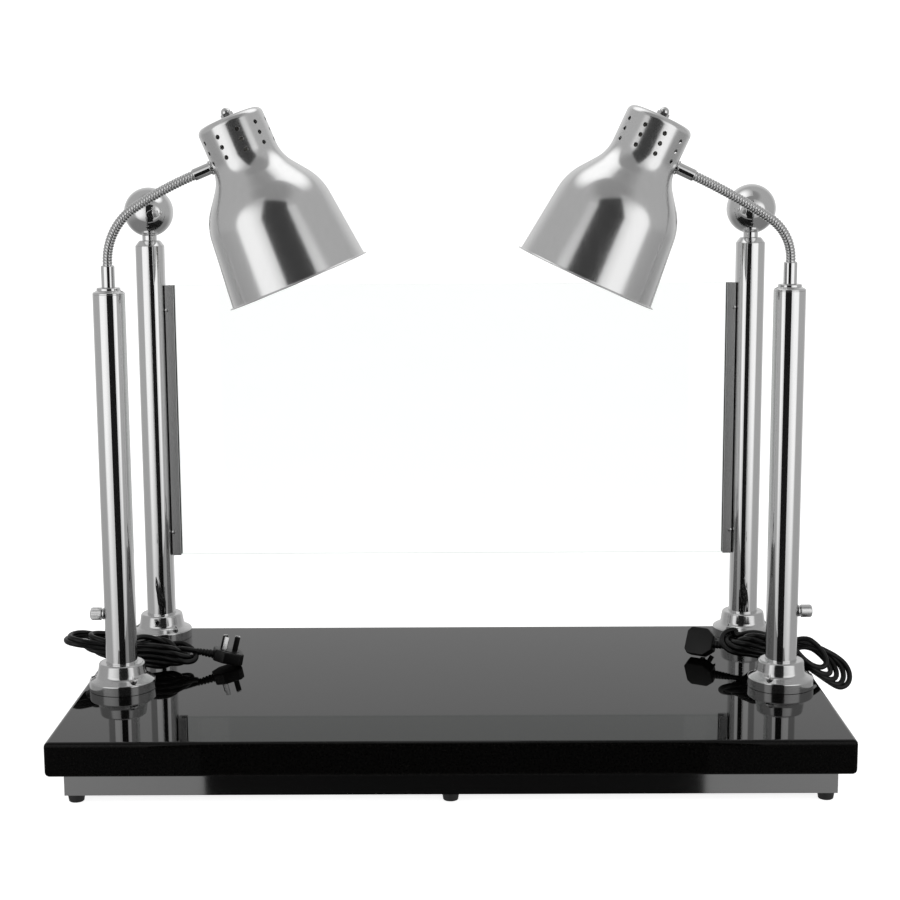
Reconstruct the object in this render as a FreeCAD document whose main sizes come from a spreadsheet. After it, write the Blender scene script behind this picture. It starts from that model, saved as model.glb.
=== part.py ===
"""Carving station: a polished granite slab on a stainless underframe, with two gooseneck heat lamps in
front and a glass guard held between two ball-topped posts behind.

Millimetres, +Z up. The origin is on the surface that the feet stand on, under the middle of the slab.
+X is to the right and -Y is the serving side. "left" is -X.
"""
import FreeCAD, Part
import math
import os
import Sketcher
from FreeCAD import Placement, Rotation, Vector

doc = FreeCAD.newDocument("CarvingStation")

# ---------------------------------------------------------------- driving dimensions

DRIVING = {
    # slab and underframe
    "slab_width": 905, "slab_depth": 500, "slab_thick": 40, "slab_edge": 5.5,
    "foot_height": 10, "foot_radius": 10, "foot_inset": 11,
    "foot_recess": 4.5, "foot_recess_depth": 5, "foot_screw_hole": 2.2,
    "frame_height": 27, "frame_inset": 18, "rail_depth": 20, "rail_wall": 1.5,
    "cross_spacing": 280,
    # posts
    "lamp_post_x": 403.3, "lamp_post_y": -37.2, "lamp_post_top": 559.5,
    "guard_post_x": 395, "guard_post_y": 203.5, "guard_post_top": 606.5,
    "post_radius": 19, "post_wall": 1.5, "post_seat": 2.5,
    # post base
    "flange_radius": 40, "flange_rim": 12, "flange_waist": 30, "flange_waist_height": 17.5,
    "flange_neck": 27.5, "flange_height": 33.5, "flange_screw_circle": 34.5,
    "screw_shank": 2, "screw_head": 3.8, "screw_length": 20, "screw_play": 0.3, "screw_sunk": 0.6,
    "set_screw_height": 26, "set_screw_radius": 2.5, "set_screw_length": 6, "set_screw_socket": 1.3,
    # caps and balls
    "cap_step": 14, "cap_height": 8, "cap_plug": 15,
    "ball_radius": 32, "ball_stem": 9.5, "ball_thread": 4, "ball_thread_length": 12,
    "bell_top": 13.5, "bell_height": 7, "stem_height": 6.5,
    # glass guard
    "pane_bottom": 191.5, "pane_height": 363, "pane_thick": 6,
    "channel_wide": 11, "channel_deep": 16, "channel_slot": 9, "channel_grip": 7,
    "channel_screw_inset": 32, "channel_screw_radius": 2.6, "channel_screw_proud": 1.6,
    # lamp switch and cord gland
    "switch_height": 170.5, "switch_bush": 5, "switch_case": 11, "switch_case_length": 20, "switch_shaft": 3,
    "ring_nut": 7, "ring_nut_thick": 2, "knob_stand_off": 3.6, "knob_radius": 7.75, "knob_length": 13.5,
    "gland_height": 119, "gland_radius": 6.5, "gland_nose": 4.6, "gland_length": 24,
    # gooseneck
    "ferrule_radius": 8, "ferrule_length": 26, "neck_radius": 5.8, "neck_bore": 3.6,
    "neck_rise": 4, "neck_bend_end": 33,
    "top_ferrule_radius": 7, "top_ferrule_length": 22, "ferrule_ring": 8.6, "ferrule_ring_thick": 2,
    # lamp head, along its own axis from the rim
    "shade_rim": 83.9, "shade_lip": 87.5, "shade_shoulder": 73.4, "shade_shoulder_height": 100.5,
    "shade_crown": 40.3, "shade_crown_height": 144, "shade_height": 205, "shade_wall": 0.9,
    "shoulder_round": 70, "crown_round": 45, "top_round": 8,
    "vent_radius": 2.5, "vent_low": 162.3, "vent_pitch": 12.5, "arm_height": 160.5,
    "holder_radius": 20, "holder_mouth": 150, "holder_top": 192, "stud_radius": 5, "ferrule_tail": 5,
    "washer_radius": 8.5, "washer_thick": 1.4, "nut_flats": 13, "nut_thick": 4.5, "nut_dome": 5.9,
    "lock_nut_radius": 8, "lock_nut_thick": 2.6,
    "bulb_face": 18, "bulb_edge": 56, "bulb_radius": 62.5, "bulb_widest": 48, "bulb_neck": 21,
    "bulb_wall": 1.8,
    # supply cord
    "cord_radius": 3.4, "tie_wide": 5, "tie_thick": 2.4,
    "plug_thick": 15, "plug_round": 2.5, "plug_rim_round": 1.2,
    "plug_tail_height": 6.5, "plug_tail_length": 22, "plug_tail_wide": 5.6, "plug_tail_narrow": 4.2,
    "pin_wide": 6.35, "pin_thick": 1.6, "pin_root": 4,
}

sheet = doc.addObject("Spreadsheet::Sheet", "Sizes")
for row, (alias, value) in enumerate(DRIVING.items(), start=1):
    sheet.set(f"A{row}", alias)
    sheet.set(f"B{row}", str(value))
    sheet.setAlias(f"B{row}", alias)
doc.recompute()


def size(alias):
    """A driving dimension, read back from the spreadsheet."""
    return float(getattr(sheet, alias))


# The two lamps are the same product, bent by hand into slightly different poses.
LAMPS = {
    "left": {"side": -1, "rim": (-177.7, 574.6), "tilt": 22.5, "vent_turn": -5.5},
    "right": {"side": 1, "rim": (162.1, 576.3), "tilt": 25.1, "vent_turn": -7},
}
FRAME_TOP = size("foot_height") + size("frame_height")
SLAB_TOP = FRAME_TOP + size("slab_thick")
FERRULE_BOTTOM = size("lamp_post_top") + size("cap_height")
FERRULE_TOP = FERRULE_BOTTOM + size("ferrule_length")
VENT_COLUMNS = 10
FLANGE_SCREWS = 3

parts = {}


# ---------------------------------------------------------------- helpers

def keep(name, feature):
    """Name a finished sub-part; its label is its file name."""
    feature.Label = name
    parts[name] = feature
    return feature


def shaped(name, shape, placement=None):
    """A sub-part whose shape is worked out with Part's own functions."""
    feature = doc.addObject("Part::Feature", "Shape_" + name)
    feature.Shape = shape
    if placement is not None:
        feature.Placement = placement
    return keep(name, feature)


def bind(feature, **formulas):
    """Tie a feature's properties to spreadsheet cells."""
    for prop, formula in formulas.items():
        feature.setExpression(prop, formula)


def box(name, length, width, height, x=0.0, y=0.0, z=0.0):
    """A Part::Box bound to formulas, with its corner at x, y, z."""
    feature = doc.addObject("Part::Box", name)
    bind(feature, Length=length, Width=width, Height=height)
    feature.Placement.Base = Vector(x, y, z)
    return feature


def rod(name, radius, height, base, direction=Vector(0, 0, 1)):
    """A Part::Cylinder bound to formulas, from base along direction."""
    feature = doc.addObject("Part::Cylinder", name)
    bind(feature, Radius=radius, Height=height)
    feature.Placement = Placement(base, Rotation(Vector(0, 0, 1), direction))
    return feature


def cut(name, base, tool):
    feature = doc.addObject("Part::Cut", name)
    feature.Base = base
    feature.Tool = tool
    return feature


def drills(name, shapes):
    """Several cutting tools as one feature."""
    feature = doc.addObject("Part::Feature", name)
    feature.Shape = Part.makeCompound(shapes)
    return feature


def plane(body, role):
    return next(f for f in body.Origin.OriginFeatures if f.Role == role)


def outline(body, name, corners):
    """A closed sketch on the body's XZ plane through corners, each (radius, height) as formulas."""
    sketch = body.newObject("Sketcher::SketchObject", name)
    sketch.AttachmentSupport = (plane(body, "XZ_Plane"), [""])
    sketch.MapMode = "FlatFace"
    count = len(corners)
    turn = 2 * math.pi / count
    start = [Vector(30 + 9 * math.cos(i * turn), 30 + 9 * math.sin(i * turn), 0) for i in range(count)]
    for i in range(count):
        sketch.addGeometry(Part.LineSegment(start[i], start[(i + 1) % count]), False)
    for i in range(count):
        sketch.addConstraint(Sketcher.Constraint("Coincident", i, 2, (i + 1) % count, 1))
    for i, (across, up) in enumerate(corners):
        for kind, formula, now in (("DistanceX", across, start[i].x), ("DistanceY", up, start[i].y)):
            index = sketch.addConstraint(Sketcher.Constraint(kind, -1, 1, i, 1, now))
            sketch.setExpression(f"Constraints[{index}]", formula)
    return sketch


def turned(name, corners):
    """A PartDesign body: the outline of corners turned about the body's own Z axis."""
    body = doc.addObject("PartDesign::Body", name)
    sketch = outline(body, name + "_outline", corners)
    turn = body.newObject("PartDesign::Revolution", name + "_turn")
    turn.Profile = sketch
    turn.ReferenceAxis = (sketch, ["V_Axis"])
    turn.Angle = 360
    doc.recompute()
    return body


def rounded(body, rings):
    """Fillet the body's circular edges; rings holds (radius of edge, height of edge, fillet formula)."""
    for number, (radius, height, formula) in enumerate(rings):
        tip = body.Tip
        names = []
        for index, edge in enumerate(tip.Shape.Edges, start=1):
            if not isinstance(edge.Curve, Part.Circle):
                continue
            curve = edge.Curve
            if abs(curve.Radius - radius) < 0.05 and abs(curve.Center.z - height) < 0.05:
                names.append(f"Edge{index}")
        fillet = body.newObject("PartDesign::Fillet", f"{body.Name}_round{number}")
        fillet.Base = (tip, names)
        bind(fillet, Radius=formula)
        doc.recompute()
    return body


def around(centre, count, first, make):
    """Shapes from make(angle), spaced evenly around centre, the first at angle first."""
    return [make(centre, first + 360 * i / count) for i in range(count)]


def toward(angle):
    """The horizontal unit vector at angle degrees from +X."""
    return Vector(math.cos(math.radians(angle)), math.sin(math.radians(angle)), 0)


# ---------------------------------------------------------------- slab, underframe and feet

POSTS = {
    (side, kind): Vector(sign * size(kind + "_post_x"), size(kind + "_post_y"), SLAB_TOP)
    for side, sign in (("left", -1), ("right", 1))
    for kind in ("lamp", "guard")
}
# The first flange screw of each base, in degrees from +X.
SCREW_TURN = {
    ("left", "lamp"): -57, ("right", "lamp"): -122,
    ("left", "guard"): -50, ("right", "guard"): -130,
}
# Where the set screw in each base's neck looks. The posts were turned as they came when they were fitted.
SET_SCREW_TURN = {
    ("left", "lamp"): 155, ("right", "lamp"): 25,
    ("left", "guard"): -92, ("right", "guard"): 60,
}


def flange_screw_at(centre, angle):
    """Where a flange screw's countersink opens, on the sloping shoulder."""
    fall = size("flange_waist_height") - size("flange_rim")
    slope = fall / (size("flange_radius") - size("flange_waist"))
    rise = (size("flange_radius") - size("flange_screw_circle")) * slope
    return centre + toward(angle) * size("flange_screw_circle") + Vector(0, 0, size("flange_rim") + rise)


def make_slab():
    body = doc.addObject("PartDesign::Body", "slab_block")
    sketch = body.newObject("Sketcher::SketchObject", "slab_outline")
    sketch.AttachmentSupport = (plane(body, "XY_Plane"), [""])
    sketch.MapMode = "FlatFace"
    corners = [Vector(-9, -5, 0), Vector(9, -5, 0), Vector(9, 5, 0), Vector(-9, 5, 0)]
    for i in range(4):
        sketch.addGeometry(Part.LineSegment(corners[i], corners[(i + 1) % 4]), False)
    for i in range(4):
        sketch.addConstraint(Sketcher.Constraint("Coincident", i, 2, (i + 1) % 4, 1))
        sketch.addConstraint(Sketcher.Constraint("Horizontal" if i % 2 == 0 else "Vertical", i))
    sketch.addConstraint(Sketcher.Constraint("Symmetric", 0, 1, 1, 2, -1, 1))
    for line, kind, alias in ((0, "DistanceX", "slab_width"), (1, "DistanceY", "slab_depth")):
        index = sketch.addConstraint(Sketcher.Constraint(kind, line, 1, line, 2, 18.0 if line == 0 else 10.0))
        sketch.setExpression(f"Constraints[{index}]", "Sizes." + alias)
    pad = body.newObject("PartDesign::Pad", "slab_pad")
    pad.Profile = sketch
    bind(pad, Length="Sizes.slab_thick")
    doc.recompute()
    fillet = body.newObject("PartDesign::Fillet", "slab_edges")
    fillet.Base = (pad, [f"Edge{i + 1}" for i in range(len(pad.Shape.Edges))])
    bind(fillet, Radius="Sizes.slab_edge")
    body.Placement.Base = Vector(0, 0, FRAME_TOP)
    depth = size("screw_length")
    holes = [
        Part.makeCylinder(size("screw_shank") + size("screw_play") + 0.1, depth,
                          p - Vector(0, 0, depth + p.z - SLAB_TOP - 1))
        for key, centre in POSTS.items()
        for p in around(centre, FLANGE_SCREWS, SCREW_TURN[key], flange_screw_at)
    ]
    keep("granite_slab", cut("Slab", body, drills("slab_drills", holes)))


def make_rail(name, length_formula, turn, middle):
    """A folded channel with its web outward, length along its own X, centred on middle."""
    outer = box(name + "_outer", length_formula, "Sizes.rail_depth", "Sizes.frame_height")
    inner_height = "Sizes.frame_height - 2 * Sizes.rail_wall"
    inner = box(name + "_inner", length_formula, "Sizes.rail_depth", inner_height,
                0, size("rail_wall"), size("rail_wall"))
    rail = cut(name + "_channel", outer, inner)
    doc.recompute()
    half = outer.Length.Value / 2
    if turn in (0, 180):
        spots = [Vector(half + step * foot_spots()[2].x, foot_row(), -1) for step in (-1, 0, 1)]
        holes = [Part.makeCylinder(size("foot_screw_hole"), 2 + size("rail_wall"), spot) for spot in spots]
        rail = cut(name + "_drilled", rail, drills(name + "_holes", holes))
    spin = Rotation(Vector(0, 0, 1), turn)
    rail.Placement = Placement(middle + spin.multVec(Vector(-half, 0, 0)), spin)
    keep(name, rail)


def foot_row():
    """How far the feet's centres are inside the frame's long sides."""
    return size("foot_radius") + 2


def foot_spots():
    """Centres of the feet, the front row first, left to right."""
    x = size("slab_width") / 2 - size("frame_inset") - size("foot_inset")
    y = size("slab_depth") / 2 - size("frame_inset") - foot_row()
    return [Vector(sx * x, sy * y, 0) for sy in (-1, 1) for sx in (-1, 0, 1)]


def make_frame():
    half_x = size("slab_width") / 2 - size("frame_inset")
    half_y = size("slab_depth") / 2 - size("frame_inset")
    low = size("foot_height")
    long_rail = "Sizes.slab_width - 2 * Sizes.frame_inset"
    short_rail = "Sizes.slab_depth - 2 * Sizes.frame_inset - 2 * Sizes.rail_depth"
    make_rail("frame_front_rail", long_rail, 0, Vector(0, -half_y, low))
    make_rail("frame_rear_rail", long_rail, 180, Vector(0, half_y, low))
    make_rail("frame_right_rail", short_rail, 90, Vector(half_x, 0, low))
    make_rail("frame_left_rail", short_rail, -90, Vector(-half_x, 0, low))
    reach = 2 * (half_y - size("rail_depth"))
    wall = size("rail_wall")
    bars = []
    for x in (-size("cross_spacing") / 2, size("cross_spacing") / 2):
        corner = Vector(x - size("rail_depth") / 2, -reach / 2, low)
        outer = Part.makeBox(size("rail_depth"), reach, size("frame_height"), corner)
        inner = Part.makeBox(size("rail_depth") - 2 * wall, reach, size("frame_height") - 2 * wall,
                             corner + Vector(wall, 0, wall))
        bars.append(outer.cut(inner))
    shaped("frame_cross_bars", Part.makeCompound(bars))


def make_feet():
    """Six turned rubber feet, each held by a pan-head screw up into the frame."""
    radius, height = size("foot_radius"), size("foot_height")
    foot = Part.makeCone(radius - 1.5, radius, height)
    foot = foot.makeFillet(1.2, [e for e in foot.Edges if abs(e.CenterOfMass.z) < 0.01 and e.Closed])
    recess = size("foot_recess_depth")
    foot = foot.cut(Part.makeCylinder(size("foot_recess"), recess))
    foot = foot.cut(Part.makeCylinder(size("foot_screw_hole"), height))
    head_thick = 2.2
    head = Part.makeCylinder(size("foot_recess") - 0.5, head_thick, Vector(0, 0, recess - head_thick))
    screw = head.fuse(Part.makeCylinder(size("screw_shank"), height - 1, Vector(0, 0, recess)))
    shaped("rubber_feet", Part.makeCompound([foot.translated(p) for p in foot_spots()]))
    shaped("foot_screws", Part.makeCompound([screw.translated(p) for p in foot_spots()]))


# ---------------------------------------------------------------- posts

def make_flange(name, key):
    """The turned base that a post stands in, drilled for its screws."""
    body = turned(name + "_body", [
        ("Sizes.post_radius + 0.1", "Sizes.post_seat"),
        ("Sizes.post_radius - 4", "Sizes.post_seat"),
        ("Sizes.post_radius - 4", "0"),
        ("Sizes.flange_radius", "0"),
        ("Sizes.flange_radius", "Sizes.flange_rim"),
        ("Sizes.flange_waist", "Sizes.flange_waist_height"),
        ("Sizes.flange_neck", "Sizes.flange_height"),
        ("Sizes.post_radius + 0.1", "Sizes.flange_height"),
    ])
    rounded(body, [
        (size("flange_radius"), size("flange_rim"), "2"),
        (size("flange_waist"), size("flange_waist_height"), "6"),
        (size("flange_neck"), size("flange_height"), "3"),
    ])
    origin = Vector(0, 0, 0)
    tools = []
    shank, head = size("screw_shank") + size("screw_play"), size("screw_head") + size("screw_play")
    sink, sunk = size("screw_head") - size("screw_shank"), size("screw_sunk")
    for mouth in around(origin, FLANGE_SCREWS, SCREW_TURN[key], flange_screw_at):
        tools.append(Part.makeCylinder(shank, 30, mouth - Vector(0, 0, 25)))
        tools.append(Part.makeCone(shank, head, sink, mouth - Vector(0, 0, sink + sunk)))
        tools.append(Part.makeCylinder(head, 6, mouth - Vector(0, 0, sunk + 0.01)))
    angle = SET_SCREW_TURN[key]
    start = toward(angle) * 17 + Vector(0, 0, size("set_screw_height"))
    tools.append(Part.makeCylinder(size("set_screw_radius") + 0.05, 14, start, toward(angle)))
    feature = cut(name + "_drilled", body, drills(name + "_drills", tools))
    feature.Placement.Base = POSTS[key]
    keep(name, feature)


def make_flange_screws():
    """The bases' countersunk screws, each with a cross recess, and their socketed set screws."""
    screws, grubs = [], []
    sink = size("screw_head") - size("screw_shank")
    length = size("screw_length") + 8
    recess_long, recess_wide, recess_deep = 5, 1, 0.9
    for key, centre in POSTS.items():
        for mouth in around(centre, FLANGE_SCREWS, SCREW_TURN[key], flange_screw_at):
            top = mouth - Vector(0, 0, size("screw_sunk"))
            head = Part.makeCone(size("screw_shank"), size("screw_head"), sink, top - Vector(0, 0, sink))
            shank = Part.makeCylinder(size("screw_shank"), length, top - Vector(0, 0, length))
            recess = [
                Part.makeBox(a, b, 1, top - Vector(a / 2, b / 2, recess_deep))
                for a, b in ((recess_long, recess_wide), (recess_wide, recess_long))
            ]
            screws.append(head.fuse(shank).cut(Part.makeCompound(recess)))
        out = toward(SET_SCREW_TURN[key])
        start = centre + out * (size("post_radius") + 0.15) + Vector(0, 0, size("set_screw_height"))
        grub = Part.makeCylinder(size("set_screw_radius"), size("set_screw_length"), start, out)
        socket = Part.makeCylinder(size("set_screw_socket"), 3,
                                   start + out * (size("set_screw_length") - 2.5), out)
        grubs.append(grub.cut(socket))
    shaped("flange_screws", Part.makeCompound(screws))
    shaped("flange_set_screws", Part.makeCompound(grubs))


def make_post(name, key, top, holes):
    """A tube from its seat in the flange up to top, with holes as (height, direction angle, radius)."""
    foot = POSTS[key] + Vector(0, 0, size("post_seat") + 0.1)
    length = f"{top} - {foot.z}"
    outer = rod(name + "_outer", "Sizes.post_radius", length, foot)
    inner = rod(name + "_inner", "Sizes.post_radius - Sizes.post_wall", length, foot)
    tube = cut(name + "_tube", outer, inner)
    if holes:
        tools = [
            Part.makeCylinder(radius, 12, Vector(foot.x, foot.y, height) + toward(angle) * 13, toward(angle))
            for height, angle, radius in holes
        ]
        tube = cut(name + "_drilled", tube, drills(name + "_holes", tools))
    keep(name, tube)


def make_lamp_cap(name, key):
    """Stepped cap that closes a lamp post and carries the neck's ferrule."""
    body = turned(name + "_body", [
        ("Sizes.ferrule_radius - 3.9", "0"),
        ("Sizes.post_radius - Sizes.post_wall - 0.05", "0"),
        ("Sizes.post_radius - Sizes.post_wall - 0.05", "Sizes.cap_plug"),
        ("Sizes.post_radius", "Sizes.cap_plug"),
        ("Sizes.post_radius", "Sizes.cap_plug + 2.2"),
        ("Sizes.cap_step", "Sizes.cap_plug + 4.6"),
        ("Sizes.cap_step", "Sizes.cap_plug + Sizes.cap_height"),
        ("Sizes.ferrule_radius - 3.9", "Sizes.cap_plug + Sizes.cap_height"),
    ])
    rounded(body, [
        (size("cap_step"), size("cap_plug") + size("cap_height"), "1.4"),
        (size("post_radius"), size("cap_plug") + 2.2, "2.6"),
    ])
    body.Placement.Base = Vector(POSTS[key].x, POSTS[key].y, size("lamp_post_top") - size("cap_plug"))
    keep(name, body)


def make_guard_cap(name, key):
    """Bell-shaped cap with the stem that the ball screws on to."""
    body = turned(name + "_body", [
        ("0", "0"),
        ("Sizes.post_radius - Sizes.post_wall - 0.05", "0"),
        ("Sizes.post_radius - Sizes.post_wall - 0.05", "Sizes.cap_plug"),
        ("Sizes.post_radius", "Sizes.cap_plug"),
        ("Sizes.bell_top", "Sizes.cap_plug + Sizes.bell_height"),
        ("Sizes.ball_stem", "Sizes.cap_plug + Sizes.bell_height"),
        ("Sizes.ball_stem", "Sizes.cap_plug + Sizes.bell_height + Sizes.stem_height"),
        ("Sizes.ball_thread", "Sizes.cap_plug + Sizes.bell_height + Sizes.stem_height"),
        ("Sizes.ball_thread",
         "Sizes.cap_plug + Sizes.bell_height + Sizes.stem_height + Sizes.ball_thread_length"),
        ("0", "Sizes.cap_plug + Sizes.bell_height + Sizes.stem_height + Sizes.ball_thread_length"),
    ])
    rounded(body, [(size("bell_top"), size("cap_plug") + size("bell_height"), "2.2")])
    body.Placement.Base = Vector(POSTS[key].x, POSTS[key].y, size("guard_post_top") - size("cap_plug"))
    keep(name, body)


def make_ball(name, key):
    """Ball finial, flattened where it meets the stem and bored for the stem's thread."""
    stem_top = size("guard_post_top") + size("bell_height") + size("stem_height")
    flat = math.sqrt(size("ball_radius") ** 2 - size("ball_stem") ** 2)
    centre = Vector(POSTS[key].x, POSTS[key].y, stem_top + flat)
    ball = doc.addObject("Part::Sphere", name + "_sphere")
    bind(ball, Radius="Sizes.ball_radius")
    below = box(name + "_below", "80", "80", "20", -40, -40, -flat - 20)
    bore = rod(name + "_bore", "Sizes.ball_thread + 0.05", "Sizes.ball_thread_length + 2",
               Vector(0, 0, -flat - 1))
    tools = doc.addObject("Part::Fuse", name + "_tools")
    tools.Base = below
    tools.Tool = bore
    feature = cut(name + "_cut", ball, tools)
    feature.Placement.Base = centre
    keep(name, feature)


def make_posts():
    for side in ("left", "right"):
        outward = 180 if side == "left" else 0
        lamp, guard = (side, "lamp"), (side, "guard")
        make_flange(side + "_lamp_base", lamp)
        make_flange(side + "_guard_base", guard)
        make_post(side + "_lamp_post", lamp, "Sizes.lamp_post_top", [
            (size("switch_height"), outward, size("switch_bush") + 0.2),
            (size("gland_height"), 90, 5.2),
        ])
        make_post(side + "_guard_post", guard, "Sizes.guard_post_top", [])
        make_lamp_cap(side + "_lamp_post_cap", lamp)
        make_guard_cap(side + "_guard_post_cap", guard)
        make_ball(side + "_ball_finial", guard)
    make_flange_screws()


# ---------------------------------------------------------------- glass guard

def make_guard():
    """The pane stands in two upright channels, each screwed to its post through the back of the channel."""
    low, high = size("pane_bottom"), size("pane_height")
    y = size("guard_post_y")
    inner_edge = size("guard_post_x") - size("post_radius") - 0.05
    web = size("channel_wide") - size("channel_grip")
    pane_half = inner_edge - web - 0.6
    pane = box("pane_box", str(2 * pane_half), "Sizes.pane_thick", "Sizes.pane_height",
               -pane_half, y - size("pane_thick") / 2, low)
    keep("glass_pane", pane)
    strips, screws = [], []
    for side, sign in (("left", -1), ("right", 1)):
        at = sign * inner_edge
        corner = min(at, at - sign * size("channel_wide"))
        outer = box(side + "_channel_outer", "Sizes.channel_wide", "Sizes.channel_deep", "Sizes.pane_height",
                    corner, y - size("channel_deep") / 2, low)
        slot_edge = at - sign * web
        slot_corner = min(slot_edge, slot_edge - sign * (size("channel_grip") + 1))
        slot = box(side + "_channel_slot", "Sizes.channel_grip + 1", "Sizes.channel_slot",
                   "Sizes.pane_height", slot_corner, y - size("channel_slot") / 2, low)
        keep(side + "_glass_channel", cut(side + "_channel", outer, slot))
        # rubber strips between pane and channel
        thick = (size("channel_slot") - size("pane_thick")) / 2
        strip_corner = min(slot_edge, slot_edge - sign * size("channel_grip"))
        for face in (-1, 1):
            start = y + size("pane_thick") / 2 if face > 0 else y - size("channel_slot") / 2
            strips.append(Part.makeBox(size("channel_grip"), thick, high, Vector(strip_corner, start, low)))
        # round-headed screws on the front of the channel
        middle = at - sign * web / 2
        inset = size("channel_screw_inset")
        for z in (low + inset, low + high - inset):
            head_centre = Vector(middle, y - size("channel_deep") / 2, z)
            screws.append(Part.makeCylinder(size("channel_screw_radius"), size("channel_screw_proud"),
                                            head_centre, Vector(0, -1, 0)))
    shaped("glass_gaskets", Part.makeCompound(strips))
    shaped("channel_screws", Part.makeCompound(screws))


# ---------------------------------------------------------------- lamp: switch, gland, ferrule

def make_switch(side, sign):
    """Rotary switch inside the lamp post, its bush through the wall, a ring nut and a turning knob."""
    out = Vector(sign, 0, 0)
    post = POSTS[(side, "lamp")]
    wall = Vector(post.x, post.y, size("switch_height")) + out * (size("post_radius"))
    bush, shaft = size("switch_bush"), size("switch_shaft")
    setback = 7
    case_length = size("switch_case_length")
    case = Part.makeCylinder(size("switch_case"), case_length, wall - out * (case_length + setback), out)
    switch = case.fuse(Part.makeCylinder(bush, setback + 3, wall - out * setback, out))
    switch = switch.fuse(Part.makeCylinder(shaft, 14, wall - out, out))
    shaped(side + "_switch_body", switch)
    radius, length = size("knob_radius"), size("knob_length")
    knob = Part.makeCylinder(radius, length)
    knob = knob.makeFillet(2, [e for e in knob.Edges if e.Closed and abs(e.CenterOfMass.z - length) < 0.01])
    knob = knob.makeChamfer(0.8, [e for e in knob.Edges if e.Closed and abs(e.CenterOfMass.z) < 0.01])
    knob = knob.cut(Part.makeCylinder(shaft + 0.05, 11))
    grooves, groove_radius, groove_length = 12, 0.9, 9
    groove = Part.makeCylinder(groove_radius, groove_length)
    for i in range(grooves):
        spot = toward(360 * i / grooves) * (radius + 0.4) + Vector(0, 0, 2)
        knob = knob.cut(groove.translated(spot))
    shaped(side + "_switch_knob", knob,
           Placement(wall + out * size("knob_stand_off"), Rotation(Vector(0, 0, 1), out)))
    nut = Part.makeCylinder(size("ring_nut"), size("ring_nut_thick"), wall + out * 0.3, out)
    return nut.cut(Part.makeCylinder(bush + 0.05, 3, wall, out))


def make_gland(side):
    """Tapered rubber strain relief through the back of the post, pointing backwards."""
    body = turned(side + "_gland_body", [
        ("Sizes.cord_radius + 0.1", "0"),
        ("5", "0"),
        ("5", "4"),
        ("Sizes.gland_radius + 1", "4"),
        ("Sizes.gland_radius + 1", "6.5"),
        ("Sizes.gland_radius", "8.5"),
        ("Sizes.gland_nose", "Sizes.gland_length + 4"),
        ("Sizes.cord_radius + 0.1", "Sizes.gland_length + 4"),
    ])
    post = POSTS[(side, "lamp")]
    # The tube is round, so the gland's flange clears it by its sagitta.
    start = Vector(post.x, post.y + size("post_radius") - 3.2, size("gland_height"))
    body.Placement = Placement(start, Rotation(Vector(0, 0, 1), Vector(0, 1, 0)))
    keep(side + "_cord_gland", body)
    return start.y + size("gland_length") + 4


def make_ferrule(side):
    """Lower ferrule of the neck, with a threaded tail down into the post cap."""
    body = turned(side + "_ferrule_body", [
        ("Sizes.neck_bore", "0"),
        ("4.05", "0"),
        ("4.05", "10"),
        ("Sizes.ferrule_radius", "10"),
        ("Sizes.ferrule_radius", "Sizes.ferrule_length + 10"),
        ("Sizes.neck_bore", "Sizes.ferrule_length + 10"),
    ])
    rounded(body, [(size("ferrule_radius"), size("ferrule_length") + 10, "1.5")])
    post = POSTS[(side, "lamp")]
    body.Placement.Base = Vector(post.x, post.y, FERRULE_BOTTOM - 10 + 0.05)
    keep(side + "_lower_ferrule", body)


# ---------------------------------------------------------------- lamp: neck

def head_frame(lamp):
    """Placement of the lamp head: origin at the rim's centre, +Z up the shade, +X toward the post."""
    sign, (x, z), tilt = lamp["side"], lamp["rim"], lamp["tilt"]
    turn = Rotation(Vector(0, 1, 0), sign * tilt)
    if sign < 0:
        turn = turn.multiply(Rotation(Vector(0, 0, 1), 180))
    return Placement(Vector(x, size("lamp_post_y"), z), turn)


def neck_line(lamp):
    """The neck's centreline: a short rise, a tight arc and a long gentle arc into the upper ferrule.

    Returns its point function, its length and the tight arc's radius.
    """
    sign = lamp["side"]
    head = head_frame(lamp)
    reach = size("shade_crown") + size("ferrule_ring_thick") + size("top_ferrule_length")
    end = head.multVec(Vector(reach, 0, size("arm_height")))
    start = Vector(sign * size("lamp_post_x"), size("lamp_post_y"), FERRULE_TOP)
    mid_angle, end_angle = math.radians(size("neck_bend_end")), math.radians(lamp["tilt"])
    across = abs(end.x - start.x)
    up = end.z - start.z - size("neck_rise")
    # across = a1 R1 + a2 R2 and up = b1 R1 + b2 R2, where each arc turns between known headings
    a1, b1 = 1 - math.sin(mid_angle), math.cos(mid_angle)
    a2 = math.sin(mid_angle) - math.sin(end_angle)
    b2 = math.cos(end_angle) - math.cos(mid_angle)
    scale = a1 * b2 - a2 * b1
    tight = (across * b2 - a2 * up) / scale
    gentle = (a1 * up - b1 * across) / scale

    def point(s):
        """Centreline point at length s from the lower ferrule."""
        tight_length = tight * (math.pi / 2 - mid_angle)
        if s < size("neck_rise"):
            flat, tall, heading = 0.0, s, math.pi / 2
        elif s < size("neck_rise") + tight_length:
            heading = math.pi / 2 - (s - size("neck_rise")) / tight
            flat = tight * (1 - math.sin(heading))
            tall = size("neck_rise") + tight * math.cos(heading)
        else:
            heading = mid_angle - (s - size("neck_rise") - tight_length) / gentle
            flat = a1 * tight + gentle * (math.sin(mid_angle) - math.sin(heading))
            tall = size("neck_rise") + b1 * tight + gentle * (math.cos(heading) - math.cos(mid_angle))
        return start + Vector(-sign * flat, 0, tall)

    total = size("neck_rise") + tight * (math.pi / 2 - mid_angle) + gentle * (mid_angle - end_angle)
    return point, total, tight


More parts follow.
